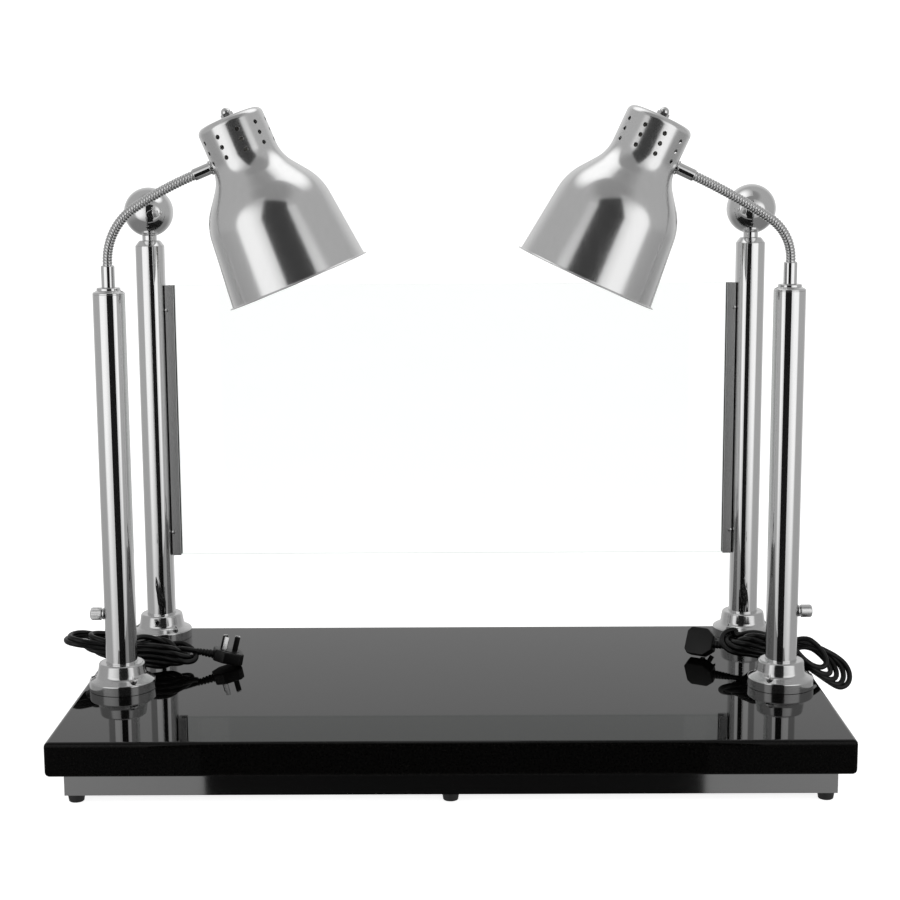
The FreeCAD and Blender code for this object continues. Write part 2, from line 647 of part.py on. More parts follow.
def neck_piece(point, breaks, first, last):
    """Tube along the centreline from length first to last; its path changes arc at the breaks."""
    joints = sorted({first, last} | {b for b in breaks if first < b < last})
    edges = []
    for a, b in zip(joints, joints[1:]):
        if b <= size("neck_rise") + 1e-6:
            edges.append(Part.LineSegment(point(a), point(b)).toShape())
        else:
            edges.append(Part.Arc(point(a), point((a + b) / 2), point(b)).toShape())
    path = Part.Wire(edges)
    heading = path.Edges[0].tangentAt(path.Edges[0].FirstParameter)
    solids = []
    for radius in (size("neck_radius"), size("neck_bore")):
        ring = Part.Wire([Part.makeCircle(radius, point(first), heading)])
        solids.append(path.makePipeShell([ring], True, False))
    return solids[0].cut(solids[1])


def make_neck(side, lamp):
    point, total, tight = neck_line(lamp)
    rise = size("neck_rise")
    breaks = (rise, rise + tight * math.radians(90 - size("neck_bend_end")))
    middle, gap = total / 2, 0.05
    shaped(side + "_neck_lower", neck_piece(point, breaks, gap, middle - gap))
    shaped(side + "_neck_upper", neck_piece(point, breaks, middle + gap, total))


# ---------------------------------------------------------------- lamp: head

def make_shade(side, lamp):
    """Spun bell shade: turned solid, rounded, hollowed to its wall, then pierced for air."""
    body = turned(side + "_shade_body", [
        ("0", "0"),
        ("Sizes.shade_rim", "0"),
        ("Sizes.shade_shoulder", "Sizes.shade_shoulder_height"),
        ("Sizes.shade_crown", "Sizes.shade_crown_height"),
        ("Sizes.shade_crown", "Sizes.shade_height"),
        ("0", "Sizes.shade_height"),
    ])
    rounded(body, [
        (size("shade_shoulder"), size("shade_shoulder_height"), "Sizes.shoulder_round"),
        (size("shade_crown"), size("shade_crown_height"), "Sizes.crown_round"),
        (size("shade_crown"), size("shade_height"), "Sizes.top_round"),
    ])
    tip = body.Tip
    mouth = [f"Face{i}" for i, face in enumerate(tip.Shape.Faces, start=1)
             if isinstance(face.Surface, Part.Plane) and abs(face.CenterOfMass.z) < 0.01]
    hollow = body.newObject("PartDesign::Thickness", side + "_shade_hollow")
    hollow.Base = (tip, mouth)
    hollow.Reversed = True
    bind(hollow, Value="Sizes.shade_wall")
    doc.recompute()
    lip = outline(body, side + "_lip_outline", [
        ("Sizes.shade_rim - Sizes.shade_wall", "0"),
        ("Sizes.shade_lip", "-Sizes.shade_wall"),
        ("Sizes.shade_lip", "0"),
        ("Sizes.shade_rim - 0.2", "2.2"),
    ])
    flare = body.newObject("PartDesign::Revolution", side + "_lip_turn")
    flare.Profile = lip
    flare.ReferenceAxis = (lip, ["V_Axis"])
    flare.Angle = 360
    doc.recompute()
    # One column of vents looks along the arm; the rest follow at equal turns.
    tools = []
    for column in range(VENT_COLUMNS):
        angle = 360 * column / VENT_COLUMNS + lamp["vent_turn"]
        for row in range(3):
            start = Vector(0, 0, size("vent_low") + row * size("vent_pitch")) + toward(angle) * 30
            tools.append(Part.makeCylinder(size("vent_radius"), 15, start, toward(angle)))
    tools.append(Part.makeCylinder(size("ferrule_tail") + 0.1, 15, Vector(30, 0, size("arm_height")),
                                   Vector(1, 0, 0)))
    tools.append(Part.makeCylinder(size("stud_radius") + 0.15, 20, Vector(0, 0, size("shade_height") - 10)))
    feature = cut(side + "_shade_pierced", body, drills(side + "_vents", tools))
    feature.Placement = head_frame(lamp)
    keep(side + "_shade", feature)


def make_top_ferrule(side, lamp):
    """Upper ferrule of the neck: sleeve, shoulder ring and threaded tail through the shade's wall."""
    crown, ring = size("shade_crown"), size("ferrule_ring_thick")
    along = Vector(1, 0, 0)
    # The crown begins to flare just below the ring, which stands off it by that much.
    start = Vector(crown + 0.65, 0, size("arm_height"))
    sleeve = Part.makeCylinder(size("top_ferrule_radius"), size("top_ferrule_length") - 0.7,
                               start + along * ring, along)
    sleeve = sleeve.makeFillet(1.2, [e for e in sleeve.Edges if e.Closed and e.CenterOfMass.x > start.x + 20])
    piece = sleeve.fuse(Part.makeCylinder(size("ferrule_ring"), ring, start, along))
    tail = 9
    piece = piece.fuse(Part.makeCylinder(size("ferrule_tail"), tail, start - along * tail, along))
    piece = piece.cut(Part.makeCylinder(size("neck_bore"), 40, start - along * (tail + 1), along))
    shaped(side + "_upper_ferrule", piece, head_frame(lamp))


def hexagon(across_flats, height, base):
    """A hexagonal prism standing on base along +Z."""
    corner = across_flats / math.sqrt(3)
    points = [base + toward(60 * i) * corner for i in range(7)]
    return Part.Face(Part.makePolygon(points)).extrude(Vector(0, 0, height))


def make_shade_nuts(side, lamp):
    """Washer and cap nut on the crown, and the lock nut inside the wall on the ferrule's tail."""
    top = size("shade_height")
    bore = size("stud_radius") + 0.05
    washer_top = top + 0.05 + size("washer_thick")
    washer = Part.makeCylinder(size("washer_radius"), size("washer_thick"), Vector(0, 0, top + 0.05))
    nut = hexagon(size("nut_flats"), size("nut_thick"), Vector(0, 0, washer_top))
    dome_middle = washer_top + size("nut_thick") + 0.75
    dome = Part.makeSphere(size("nut_dome"), Vector(0, 0, dome_middle))
    dome = dome.cut(Part.makeBox(20, 20, 20, Vector(-10, -10, washer_top + size("nut_thick") - 20.05)))
    cap_nut = washer.fuse(nut).fuse(dome).cut(Part.makeCylinder(bore, 9.3, Vector(0, 0, top - 1)))
    thick = size("lock_nut_thick")
    along = Vector(1, 0, 0)
    inner = Vector(size("shade_crown") - size("shade_wall") - thick - 0.8, 0, size("arm_height"))
    lock_nut = Part.makeCylinder(size("lock_nut_radius"), thick, inner, along)
    lock_nut = lock_nut.cut(Part.makeCylinder(size("ferrule_tail") + 0.05, thick + 1.4,
                                              inner - along * 0.5, along))
    shaped(side + "_shade_nuts", Part.makeCompound([cap_nut, lock_nut]), head_frame(lamp))


def make_holder(side, lamp):
    """Ceramic screw-base lampholder hung from the crown by its hollow stud."""
    body = turned(side + "_holder_body", [
        ("14", "Sizes.holder_mouth"),
        ("Sizes.holder_radius", "Sizes.holder_mouth"),
        ("Sizes.holder_radius", "Sizes.holder_top - 6"),
        ("Sizes.holder_radius - 5", "Sizes.holder_top"),
        ("Sizes.stud_radius", "Sizes.holder_top"),
        ("Sizes.stud_radius", "Sizes.shade_height + 8"),
        ("2.5", "Sizes.shade_height + 8"),
        ("2.5", "Sizes.holder_top - 4"),
        ("14", "Sizes.holder_top - 4"),
    ])
    body.Placement = head_frame(lamp)
    keep(side + "_lamp_holder", body)


def make_bulb(side, lamp):
    """Hollow reflector heat bulb with its screw base, face toward the slab."""
    glass = turned(side + "_bulb_outside", [
        ("0", "Sizes.bulb_face"),
        ("Sizes.bulb_edge * 0.55", "Sizes.bulb_face + 2.4"),
        ("Sizes.bulb_edge", "Sizes.bulb_face + 11"),
        ("Sizes.bulb_radius", "Sizes.bulb_widest"),
        ("Sizes.bulb_radius - 1", "Sizes.bulb_widest + 10"),
        ("Sizes.bulb_neck + 1", "Sizes.bulb_widest + 72"),
        ("Sizes.bulb_neck", "Sizes.holder_mouth - 14"),
        ("13.2", "Sizes.holder_mouth - 4"),
        ("13.2", "Sizes.holder_top - 12"),
        ("4", "Sizes.holder_top - 6"),
        ("0", "Sizes.holder_top - 6"),
    ])
    rounded(glass, [
        (size("bulb_edge"), size("bulb_face") + 11, "12"),
        (size("bulb_radius") - 1, size("bulb_widest") + 10, "14"),
        (size("bulb_neck") + 1, size("bulb_widest") + 72, "20"),
    ])
    # the sealed space, cut in corner to corner so that the wall is thinnest at the rounded places
    space = turned(side + "_bulb_space", [
        ("0", "Sizes.bulb_face + Sizes.bulb_wall"),
        ("Sizes.bulb_edge * 0.55", "Sizes.bulb_face + 2.4 + Sizes.bulb_wall"),
        ("Sizes.bulb_edge - Sizes.bulb_wall * 1.5", "Sizes.bulb_face + 11 + Sizes.bulb_wall"),
        ("Sizes.bulb_radius - Sizes.bulb_wall", "Sizes.bulb_widest"),
        ("Sizes.bulb_radius - 1.5 - Sizes.bulb_wall", "Sizes.bulb_widest + 9"),
        ("Sizes.bulb_neck - 1 - Sizes.bulb_wall", "Sizes.bulb_widest + 71"),
        ("Sizes.bulb_neck - 1 - Sizes.bulb_wall", "Sizes.holder_mouth - 15"),
        ("11", "Sizes.holder_mouth - 5"),
        ("11", "Sizes.holder_top - 15"),
        ("0", "Sizes.holder_top - 15"),
    ])
    bulb = cut(side + "_bulb_hollow", glass, space)
    bulb.Placement = head_frame(lamp)
    keep(side + "_heat_bulb", bulb)


def make_lamps():
    ring_nuts = []
    for side, lamp in LAMPS.items():
        ring_nuts.append(make_switch(side, lamp["side"]))
        make_ferrule(side)
        make_neck(side, lamp)
        make_shade(side, lamp)
        make_top_ferrule(side, lamp)
        make_shade_nuts(side, lamp)
        make_holder(side, lamp)
        make_bulb(side, lamp)
    shaped("switch_ring_nuts", Part.makeCompound(ring_nuts))


# ---------------------------------------------------------------- supply cords

# Each hank is a bow: sections across X as (x, y, z, half width in Y, half height in Z).
HANKS = {
    "left": [
        (-488, 52, 106, 9, 6), (-474, 51, 106, 20, 14), (-440, 50, 101, 21, 15), (-416, 48, 97, 15, 13),
        (-403, 47, 96, 13, 12), (-390, 47, 97, 15, 14), (-360, 47, 99, 22, 20), (-334, 48, 94, 22, 16),
        (-318, 50, 90, 14, 10), (-312, 50, 89, 8, 6),
    ],
    "right": [
        (338, 52, 110, 8, 6), (348, 52, 110, 18, 13), (374, 50, 110, 21, 16), (391, 48, 108, 15, 13),
        (403, 47, 106, 13, 12), (416, 46, 105, 15, 13), (436, 44, 101, 20, 15), (450, 43, 97, 22, 17),
        (470, 40, 86, 24, 21), (490, 38, 76, 22, 18), (503, 37, 70, 11, 8),
    ],
}
# Where the band goes round each hank, clear of the lead that crosses over it.
TIE_X = {"left": -403, "right": 411}
# The cord from the gland to its hank.
LEADS = {
    "left": [(-403.3, 30, 119), (-396, 48, 119), (-381, 59, 114), (-364, 62, 104)],
    "right": [(403.3, 30, 119), (396, 49, 119), (381, 60, 118), (364, 62, 112)],
}
# Middle of the plug's back, heading of its own +X (away from its cord), and how it is tipped about its
# own Y and then X: the left one lies on its back with its tail lifted, the right one leans on its pins.
PLUGS = {
    "left": {"at": (-289, 62), "heading": 15, "tip": 14, "roll": 0},
    "right": {"at": (320, 84), "heading": 148, "tip": 0, "roll": 116},
}


def rounded_path(points):
    """Straight runs joined by tangent arcs as large as the runs allow."""
    edges = []
    start = points[0]
    for before, corner, after in zip(points, points[1:], points[2:]):
        arriving, leaving = (corner - before), (after - corner)
        turn = arriving.getAngle(leaving)
        back = 0.45 * min(arriving.Length, leaving.Length)
        radius = back / math.tan(turn / 2)
        arriving.normalize()
        leaving.normalize()
        first, last = corner - arriving * back, corner + leaving * back
        inward = leaving - arriving
        inward.normalize()
        middle = corner + inward * (radius / math.cos(turn / 2) - radius)
        edges.append(Part.LineSegment(start, first).toShape())
        edges.append(Part.Arc(first, middle, last).toShape())
        start = last
    edges.append(Part.LineSegment(start, points[-1]).toShape())
    return Part.Wire(edges)


def make_cord(side, gland_end):
    """The hank as one closed solid, the lead that runs into it, and the band round its waist."""
    rings = []
    for x, y, z, wide, high in HANKS[side]:
        major, minor = max(wide, high), min(wide, high)
        ellipse = Part.Ellipse(Vector(0, 0, 0), major, minor)
        ring = Part.Wire([ellipse.toShape()])
        # stand the ellipse across X with its long axis along Y
        upright = Rotation(Vector(0, 1, 0), Vector(0, 0, 1), Vector(1, 0, 0), "ZXY")
        ring.Placement = Placement(Vector(x, y, z), upright)
        rings.append(ring)
    hank = Part.makeLoft(rings, True, False)
    shaped(side + "_cord_hank", hank)
    x = POSTS[(side, "lamp")].x
    route = [Vector(x, gland_end, size("gland_height"))] + [Vector(*p) for p in LEADS[side]]
    path = rounded_path(route)
    heading = route[1] - route[0]
    ring = Part.Wire([Part.makeCircle(size("cord_radius"), route[0], heading)])
    tube = path.makePipeShell([ring], True, False)
    outside = tube.cut(hank)
    lead = min(outside.Solids, key=lambda s: (s.CenterOfMass - route[0]).Length)
    shaped(side + "_cord_lead", lead)
    waist = TIE_X[side]
    _, y, z, wide, high = min(HANKS[side], key=lambda s: abs(s[0] - waist))
    half = size("tie_wide") / 2
    slab = Part.makeBox(2 * half, 80, 80, Vector(waist - half, y - 40, z - 40))
    outer = Part.makeCylinder(max(wide, high) + size("tie_thick"), 2 * half, Vector(waist - half, y, z),
                              Vector(1, 0, 0))
    return outer.cut(hank.common(slab)), hank


# The plug's plan, and its pins as (along, across, turn, height) from the middle of its face.
PLUG_PLAN = [(-19, -9), (-8, -18), (14, -18), (19, -12), (19, 12), (14, 18), (-8, 18), (-19, 9)]
PINS = [(7.5, 0, 0, 20), (-6.9, -6.9, -30, 17.5), (-6.9, 6.9, 30, 17.5)]


def make_plug(side, hank):
    """Moulded three-pin plug with a ribbed tail that runs into the hank; the pins are flat blades."""
    thick = size("plug_thick")
    outline_points = [Vector(a, b, 0) for a, b in PLUG_PLAN + PLUG_PLAN[:1]]
    body = Part.Face(Part.makePolygon(outline_points)).extrude(Vector(0, 0, thick))
    upright = [e for e in body.Edges if abs(e.CenterOfMass.z - thick / 2) < 0.1]
    body = body.makeFillet(size("plug_round"), upright)
    rim = [e for e in body.Edges if abs(e.CenterOfMass.z - thick) < 0.1]
    body = body.makeFillet(size("plug_rim_round"), rim)
    tail_start = Vector(PLUG_PLAN[0][0] + 0.5, 0, size("plug_tail_height"))
    body = body.fuse(Part.makeCone(size("plug_tail_wide"), size("plug_tail_narrow"), size("plug_tail_length"),
                                   tail_start, Vector(-1, 0, 0)))
    pins = []
    wide, thin, root = size("pin_wide"), size("pin_thick"), size("pin_root")
    for along, across, angle, tall in PINS:
        pin = Part.makeBox(wide, thin, tall + root, Vector(-wide / 2, -thin / 2, -root))
        pin = pin.makeFillet(0.7, [e for e in pin.Edges if abs(e.CenterOfMass.z - tall) < 0.1])
        pin.Placement = Placement(Vector(along, across, thick), Rotation(Vector(0, 0, 1), angle))
        pins.append(pin)
    body = body.cut(Part.makeCompound(pins))
    pose = PLUGS[side]
    turn = Rotation(Vector(0, 0, 1), pose["heading"])
    turn = turn.multiply(Rotation(Vector(0, 1, 0), pose["tip"]))
    turn = turn.multiply(Rotation(Vector(1, 0, 0), pose["roll"]))
    tilted = Part.makeCompound([body] + pins)
    tilted.Placement = Placement(Vector(0, 0, 0), turn)
    place = Placement(Vector(*pose["at"], SLAB_TOP + 0.05 - tilted.BoundBox.ZMin), turn)
    body = body.transformGeometry(place.toMatrix())
    shaped(side + "_plug", body.cut(hank))
    return [pin.transformGeometry(place.toMatrix()) for pin in pins]


def make_cords():
    ties, pins = [], []
    for side in LAMPS:
        gland_end = make_gland(side)
        tie, hank = make_cord(side, gland_end)
        ties.append(tie)
        pins.extend(make_plug(side, hank))
    shaped("cord_ties", Part.makeCompound(ties))
    shaped("plug_pins", Part.makeCompound(pins))


# ---------------------------------------------------------------- build, check and write

make_slab()
make_frame()
make_feet()
make_posts()
make_guard()
make_lamps()
make_cords()
doc.recompute()

for item in doc.Objects:
    if "Invalid" in item.State or "Error" in item.State:
        raise RuntimeError(f"{item.Label} failed: {item.State}")
os.makedirs("parts", exist_ok=True)
for label, item in parts.items():
    if item.Shape.isNull() or not item.Shape.isValid():
        raise RuntimeError(f"{label} has no valid shape")
    item.Shape.exportStep(f"parts/{label}.step")
print(len(parts), "sub-parts written")
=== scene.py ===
"""Looks of a carving station: a black granite slab on a steel underframe, two chromed gooseneck heat lamps
and a glass guard between two ball-topped posts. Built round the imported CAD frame, in metres.

Outlines and sizes below are in millimetres, as in the CAD source; MM turns them into metres.
"""
import math

import bmesh
import bpy
import numpy as np
from mathutils import Matrix, Vector


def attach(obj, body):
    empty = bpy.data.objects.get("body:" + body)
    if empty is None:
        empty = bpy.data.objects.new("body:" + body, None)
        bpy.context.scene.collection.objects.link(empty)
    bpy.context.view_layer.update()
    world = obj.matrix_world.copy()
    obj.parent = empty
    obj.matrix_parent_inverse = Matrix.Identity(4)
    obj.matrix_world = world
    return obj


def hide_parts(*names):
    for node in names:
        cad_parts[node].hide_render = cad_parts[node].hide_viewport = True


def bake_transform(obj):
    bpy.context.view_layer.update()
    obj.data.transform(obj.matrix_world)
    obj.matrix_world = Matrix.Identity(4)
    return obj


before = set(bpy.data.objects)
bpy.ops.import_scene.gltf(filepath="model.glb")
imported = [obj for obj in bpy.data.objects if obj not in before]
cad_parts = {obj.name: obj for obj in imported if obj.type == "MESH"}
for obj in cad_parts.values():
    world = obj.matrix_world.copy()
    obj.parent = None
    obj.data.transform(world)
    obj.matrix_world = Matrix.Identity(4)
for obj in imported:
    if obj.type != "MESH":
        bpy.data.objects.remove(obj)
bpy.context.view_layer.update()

MM = 0.001
SIDES = {"left": -1, "right": 1}
WHITE = (1, 1, 1, 1)
scene = bpy.context.scene


# -------- camera

CAMERA_PLACE = (0.01421, -2.11715, 0.70291)
CAMERA_DOWN, CAMERA_TURN, CAMERA_ROLL = 0.15837, 0.00669, -0.00584    # radians
CAMERA_LENS, CAMERA_SENSOR = 70.158, 36.0


def new_object(name, data):
    obj = bpy.data.objects.new(name, data)
    scene.collection.objects.link(obj)
    return obj


def make_camera():
    data = bpy.data.cameras.new("camera")
    data.lens = CAMERA_LENS
    data.sensor_width = CAMERA_SENSOR
    camera = new_object("camera", data)
    turn = Matrix.Rotation(CAMERA_TURN, 4, "Z")
    tip = Matrix.Rotation(math.pi / 2 - CAMERA_DOWN, 4, "X")
    roll = Matrix.Rotation(CAMERA_ROLL, 4, "Z")
    camera.matrix_world = Matrix.Translation(CAMERA_PLACE) @ turn @ tip @ roll
    scene.camera = camera


# -------- materials

def new_material(name):
    """A node material with a Principled shader: (material, its node tree, the shader)."""
    material = bpy.data.materials.new(name)
    material.use_nodes = True
    return material, material.node_tree, material.node_tree.nodes["Principled BSDF"]


def set_inputs(tree, node, inputs):
    """Give a node's inputs their values, or join them to other nodes' outputs."""
    for key, value in inputs.items():
        if isinstance(value, bpy.types.NodeSocket):
            tree.links.new(value, node.inputs[key])
        else:
            node.inputs[key].default_value = value


def add_node(tree, kind, inputs, output=0, **settings):
    """The named output of a new shader node with these settings and inputs."""
    node = tree.nodes.new("ShaderNode" + kind)
    for key, value in settings.items():
        setattr(node, key, value)
    set_inputs(tree, node, inputs)
    return node.outputs[output]


def product(tree, first, second):
    return add_node(tree, "Math", {0: first, 1: second}, operation="MULTIPLY")


def noise(tree, scale, detail=3.0, stretch=(1, 1, 1), rough=0.5):
    """Noise over the object's own coordinates, stretched along an axis where asked."""
    place = add_node(tree, "TexCoord", {}, "Object")
    stretched = add_node(tree, "Mapping", {"Vector": place, "Scale": stretch})
    pattern = {"Vector": stretched, "Scale": scale, "Detail": detail, "Roughness": rough}
    return add_node(tree, "TexNoise", pattern, "Fac")


def ramp(tree, value, *stops):
    """A colour ramp between two stops, each (position, grey or colour)."""
    node = tree.nodes.new("ShaderNodeValToRGB")
    for element, (position, tone) in zip(node.color_ramp.elements, stops):
        colour = tone if isinstance(tone, tuple) else (tone, tone, tone)
        element.position = position
        element.color = (*colour, 1)
    tree.links.new(value, node.inputs["Fac"])
    return node.outputs["Color"]


def spread(tree, value, between, across=(0.0, 1.0), soft=False):
    """value carried from the range across to the range between, easing in and out where asked."""
    ends = {"From Min": across[0], "From Max": across[1], "To Min": between[0], "To Max": between[1]}
    kind = "SMOOTHSTEP" if soft else "LINEAR"
    return add_node(tree, "MapRange", {"Value": value, **ends}, interpolation_type=kind)


def bump(tree, shader, height, distance):
    normal = add_node(tree, "Bump", {"Height": height, "Distance": distance})
    tree.links.new(normal, shader.inputs["Normal"])


def blend_shaders(tree, share, first, second, output="Material Output"):
    """The whole surface: the first shader, with the second laid over it by share."""
    mixed = add_node(tree, "MixShader", {"Fac": share, 1: first, 2: second})
    tree.links.new(mixed, tree.nodes[output].inputs["Surface"])


def own_normal(tree, axis):
    """How far the surface faces along one of the object's own axes, -1 to 1."""
    normal = add_node(tree, "TexCoord", {}, "Normal")
    return add_node(tree, "SeparateXYZ", {"Vector": normal}, axis)


def metal(name, tone, rough, haze=0.0, brush=(1, 1, 1), brush_scale=60, wave=0.0):
    """Plated or polished metal: faint smears in its gloss, fine tool marks, and a hazy second lobe.

    rough is (least, most); brush stretches the marks; wave is the depth of slow surface ripples in metres.
    """
    material, tree, shader = new_material(name)
    marks = noise(tree, brush_scale, 6, brush, 0.7)
    uneven = product(tree, noise(tree, 14, 2), marks)
    set_inputs(tree, shader, {
        "Base Color": ramp(tree, marks, (0.3, tone * 0.96), (0.7, tone)),
        "Roughness": spread(tree, uneven, (rough[0], 2 * rough[1] - rough[0])),
        "Metallic": 1.0,
    })
    if wave:
        bump(tree, shader, noise(tree, 30, 1), wave)
    if haze:
        dull = {"Base Color": (tone, tone, tone, 1), "Metallic": 1.0, "Roughness": 0.55}
        blend_shaders(tree, haze, shader.outputs["BSDF"], add_node(tree, "BsdfPrincipled", dull))
    return material


def granite():
    """Black granite: dark crystals with grey and bronze flecks, under a clear polish."""
    material, tree, shader = new_material("polished_granite")
    crystals = noise(tree, 420, 5, (1, 1, 1), 0.65)
    dark = ramp(tree, crystals, (0.38, (0.0004, 0.0004, 0.0004)), (0.62, (0.0024, 0.0023, 0.0022)))
    spark = ramp(tree, noise(tree, 1500, 2), (0.62, (0.0, 0.0, 0.0)), (0.76, (0.030, 0.028, 0.025)))
    colours = {"Factor": 1.0, "A": dark, "B": spark}
    set_inputs(tree, shader, {
        "Base Color": add_node(tree, "Mix", colours, "Result", data_type="RGBA", blend_type="ADD"),
        "Roughness": spread(tree, noise(tree, 9, 3), (0.015, 0.04)),
        "IOR": 1.345,
        # the sides are sawn and only lightly polished, so they shine less than the top
        "Specular IOR Level": spread(tree, own_normal(tree, "Z"), (0.05, 0.5)),
    })
    return material


def soft_plastic(name, tone, rough, grain_scale=900, grain=0.00004, gloss=0.5):
    """Rubber or moulded plastic: near-black, with grain and uneven sheen."""
    material, tree, shader = new_material(name)
    slow = noise(tree, 35, 3)
    set_inputs(tree, shader, {
        "Base Color": ramp(tree, slow, (0.3, tone * 0.75), (0.7, tone * 1.25)),
        "Roughness": spread(tree, slow, rough),
        "Specular IOR Level": gloss,
    })
    bump(tree, shader, noise(tree, grain_scale, 2), grain)
    return material


def clear_glass():
    """Toughened float glass: see-through with a sheen at its faces, and greener along its sawn edges."""
    material, tree, shader = new_material("clear_glass")
    smears = noise(tree, 7, 3)
    set_inputs(tree, shader, {
        "Base Color": ramp(tree, smears, (0.3, 0.90), (0.7, 0.95)),
        "Roughness": spread(tree, smears, (0.0, 0.02)),
        "Metallic": 1.0,
    })
    flat = add_node(tree, "Math", {0: own_normal(tree, "Y")}, operation="ABSOLUTE")
    tint = ramp(tree, flat, (0.35, (0.80, 0.84, 0.82)), (0.75, (0.93, 0.94, 0.935)))
    through = add_node(tree, "BsdfTransparent", {"Color": tint})
    # light inside the pane leaves it unbent, so its far face must not mirror like the inside of thick glass
    inside = add_node(tree, "NewGeometry", {}, "Backfacing")
    sheen = add_node(tree, "Fresnel", {"IOR": spread(tree, inside, (GLASS_INDEX, 1 / GLASS_INDEX))})
    blend_shaders(tree, sheen, through, shader.outputs["BSDF"])
    return material


def pale_glaze(name, low, high, scale, rough):
    """A warm white, between two colours, a little cloudy in its colour and gloss."""
    material, tree, shader = new_material(name)
    cloud = noise(tree, scale, 3)
    set_inputs(tree, shader, {
        "Base Color": ramp(tree, cloud, (0.3, low), (0.7, high)),
        "Roughness": spread(tree, cloud, rough),
    })
    return material, tree, shader


def frosted_glass():
    """Pearly front of a reflector bulb."""
    tones = (0.72, 0.70, 0.66), (0.82, 0.80, 0.76)
    material, tree, shader = pale_glaze("bulb_glass", *tones, 40, (0.12, 0.22))
    set_inputs(tree, shader, {"Coat Weight": 0.6, "Coat Roughness": 0.05})
    return material


def glazed_ceramic():
    tones = (0.74, 0.72, 0.67), (0.84, 0.82, 0.77)
    material, tree, shader = pale_glaze("white_ceramic", *tones, 60, (0.10, 0.2))
    bump(tree, shader, noise(tree, 200, 2), 0.00005)
    return material


GLASS_INDEX = 1.45
METALS = {
    "frame_steel": (0.34, (0.03, 0.09), 0.02, (1, 1, 14), 90, 0.00002),
    "zinc_screws": (0.55, (0.16, 0.3), 0.1),
    # the near-black tone of the flange screws is painted shade, standing in for their shadowed countersunk
    # recesses
    "painted_shade_screws": (0.05, (0.25, 0.4), 0.1),
    "nickel_trim": (0.80, (0.08, 0.18), 0.08),
    "pin_metal": (0.80, (0.22, 0.36), 0.25, (1, 1, 1), 300),
    "cast_chrome": (0.66, (0.09, 0.19), 0.03, (1, 1, 6), 120, 0.00007),
    "chrome_tube": (0.82, (0.02, 0.07), 0.012, (8, 8, 1), 70, 0.00001),
    "chrome_ball": (0.80, (0.03, 0.09), 0.02),
    "channel_steel": (0.36, (0.10, 0.22), 0.05, (10, 10, 1), 120),
    "neck_steel": (0.72, (0.06, 0.16), 0.04),
    "chrome_shade": (0.82, (0.12, 0.22), 0.12, (1, 1, 0.15), 160),
}
PLASTICS = {
    "black_rubber": (0.012, (0.45, 0.62)),
    "gasket_rubber": (0.018, (0.5, 0.65)),
    "black_tie": (0.005, (0.35, 0.5)),
    "black_plastic": (0.004, (0.30, 0.46), 1400, 0.00002, 0.35),
    "black_cord": (0.0035, (0.26, 0.40), 700, 0.00003, 0.32),
}
MATERIALS = {name: metal(name, *values) for name, values in METALS.items()}
MATERIALS |= {name: soft_plastic(name, *values) for name, values in PLASTICS.items()}
MATERIALS |= {"polished_granite": granite(), "clear_glass": clear_glass(), "bulb_glass": frosted_glass(),
              "white_ceramic": glazed_ceramic()}


# -------- mesh helpers

def piece(name, data, material, body, nodes):
    """A finished piece of the object: named, painted, riding on a body and standing for CAD nodes."""
    obj = new_object(name, data)
    data.materials.append(MATERIALS[material])
    if body:
        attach(obj, body)
    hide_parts(*nodes)
    return obj


def new_mesh(name, verts, faces):
    mesh = bpy.data.meshes.new(name)
    mesh.from_pydata(verts, [], faces)
    mesh.update()
    return mesh


def stacked_rings(name, verts, around):
    """A closed mesh over rings of as many points each, listed one ring after another."""
    faces = []
    for a in range(0, len(verts) - around, around):
        for j in range(around):
            k = (j + 1) % around
            faces.append((a + j, a + k, a + around + k, a + around + j))
    faces.append(tuple(reversed(range(around))))
    faces.append(tuple(range(len(verts) - around, len(verts))))
    return new_mesh(name, verts, faces)


def outline(corners, closed=False, steps=8):
    """Spans of an outline in (radius, height), outside on its right: each is (start, end, normal, normal).

    corners holds (radius, height) or (radius, height, rounding).
    """
    points = [Vector(c[:2]) for c in corners]
    rounding = [c[2] if len(c) > 2 else 0.0 for c in corners]
    count = len(points)
    trail = []
    for i, point in enumerate(points):
        if not rounding[i] or (not closed and i in (0, count - 1)):
            trail.append([(point, None)])
            continue
        arriving = (point - points[i - 1]).normalized()
        leaving = (points[(i + 1) % count] - point).normalized()
        turn = arriving.angle_signed(leaving) * -1
        back = rounding[i] * math.tan(abs(turn) / 2)
        start = point - arriving * back
        side = Vector((-arriving.y, arriving.x)) * (1 if turn > 0 else -1)
        centre = start + side * rounding[i]
        swings = [Matrix.Rotation(turn * step / steps, 2) for step in range(steps + 1)]
        trail.append([(centre - swing @ side * rounding[i], swing @ arriving) for swing in swings])

    def round_corner(arc):
        steps_apart = zip(arc, arc[1:])
        return [(a, b, Vector((da.y, -da.x)), Vector((db.y, -db.x))) for (a, da), (b, db) in steps_apart]

    spans = []
    for i in range(count if closed else count - 1):
        here, there = trail[i], trail[(i + 1) % count]
        spans += round_corner(here)
        straight = (there[0][0] - here[-1][0]).normalized()
        across = Vector((straight.y, -straight.x))
        spans.append((here[-1][0], there[0][0], across, across))
    if not closed:
        spans += round_corner(trail[-1])
    return [s for s in spans if (s[0] - s[1]).length > 1e-6]


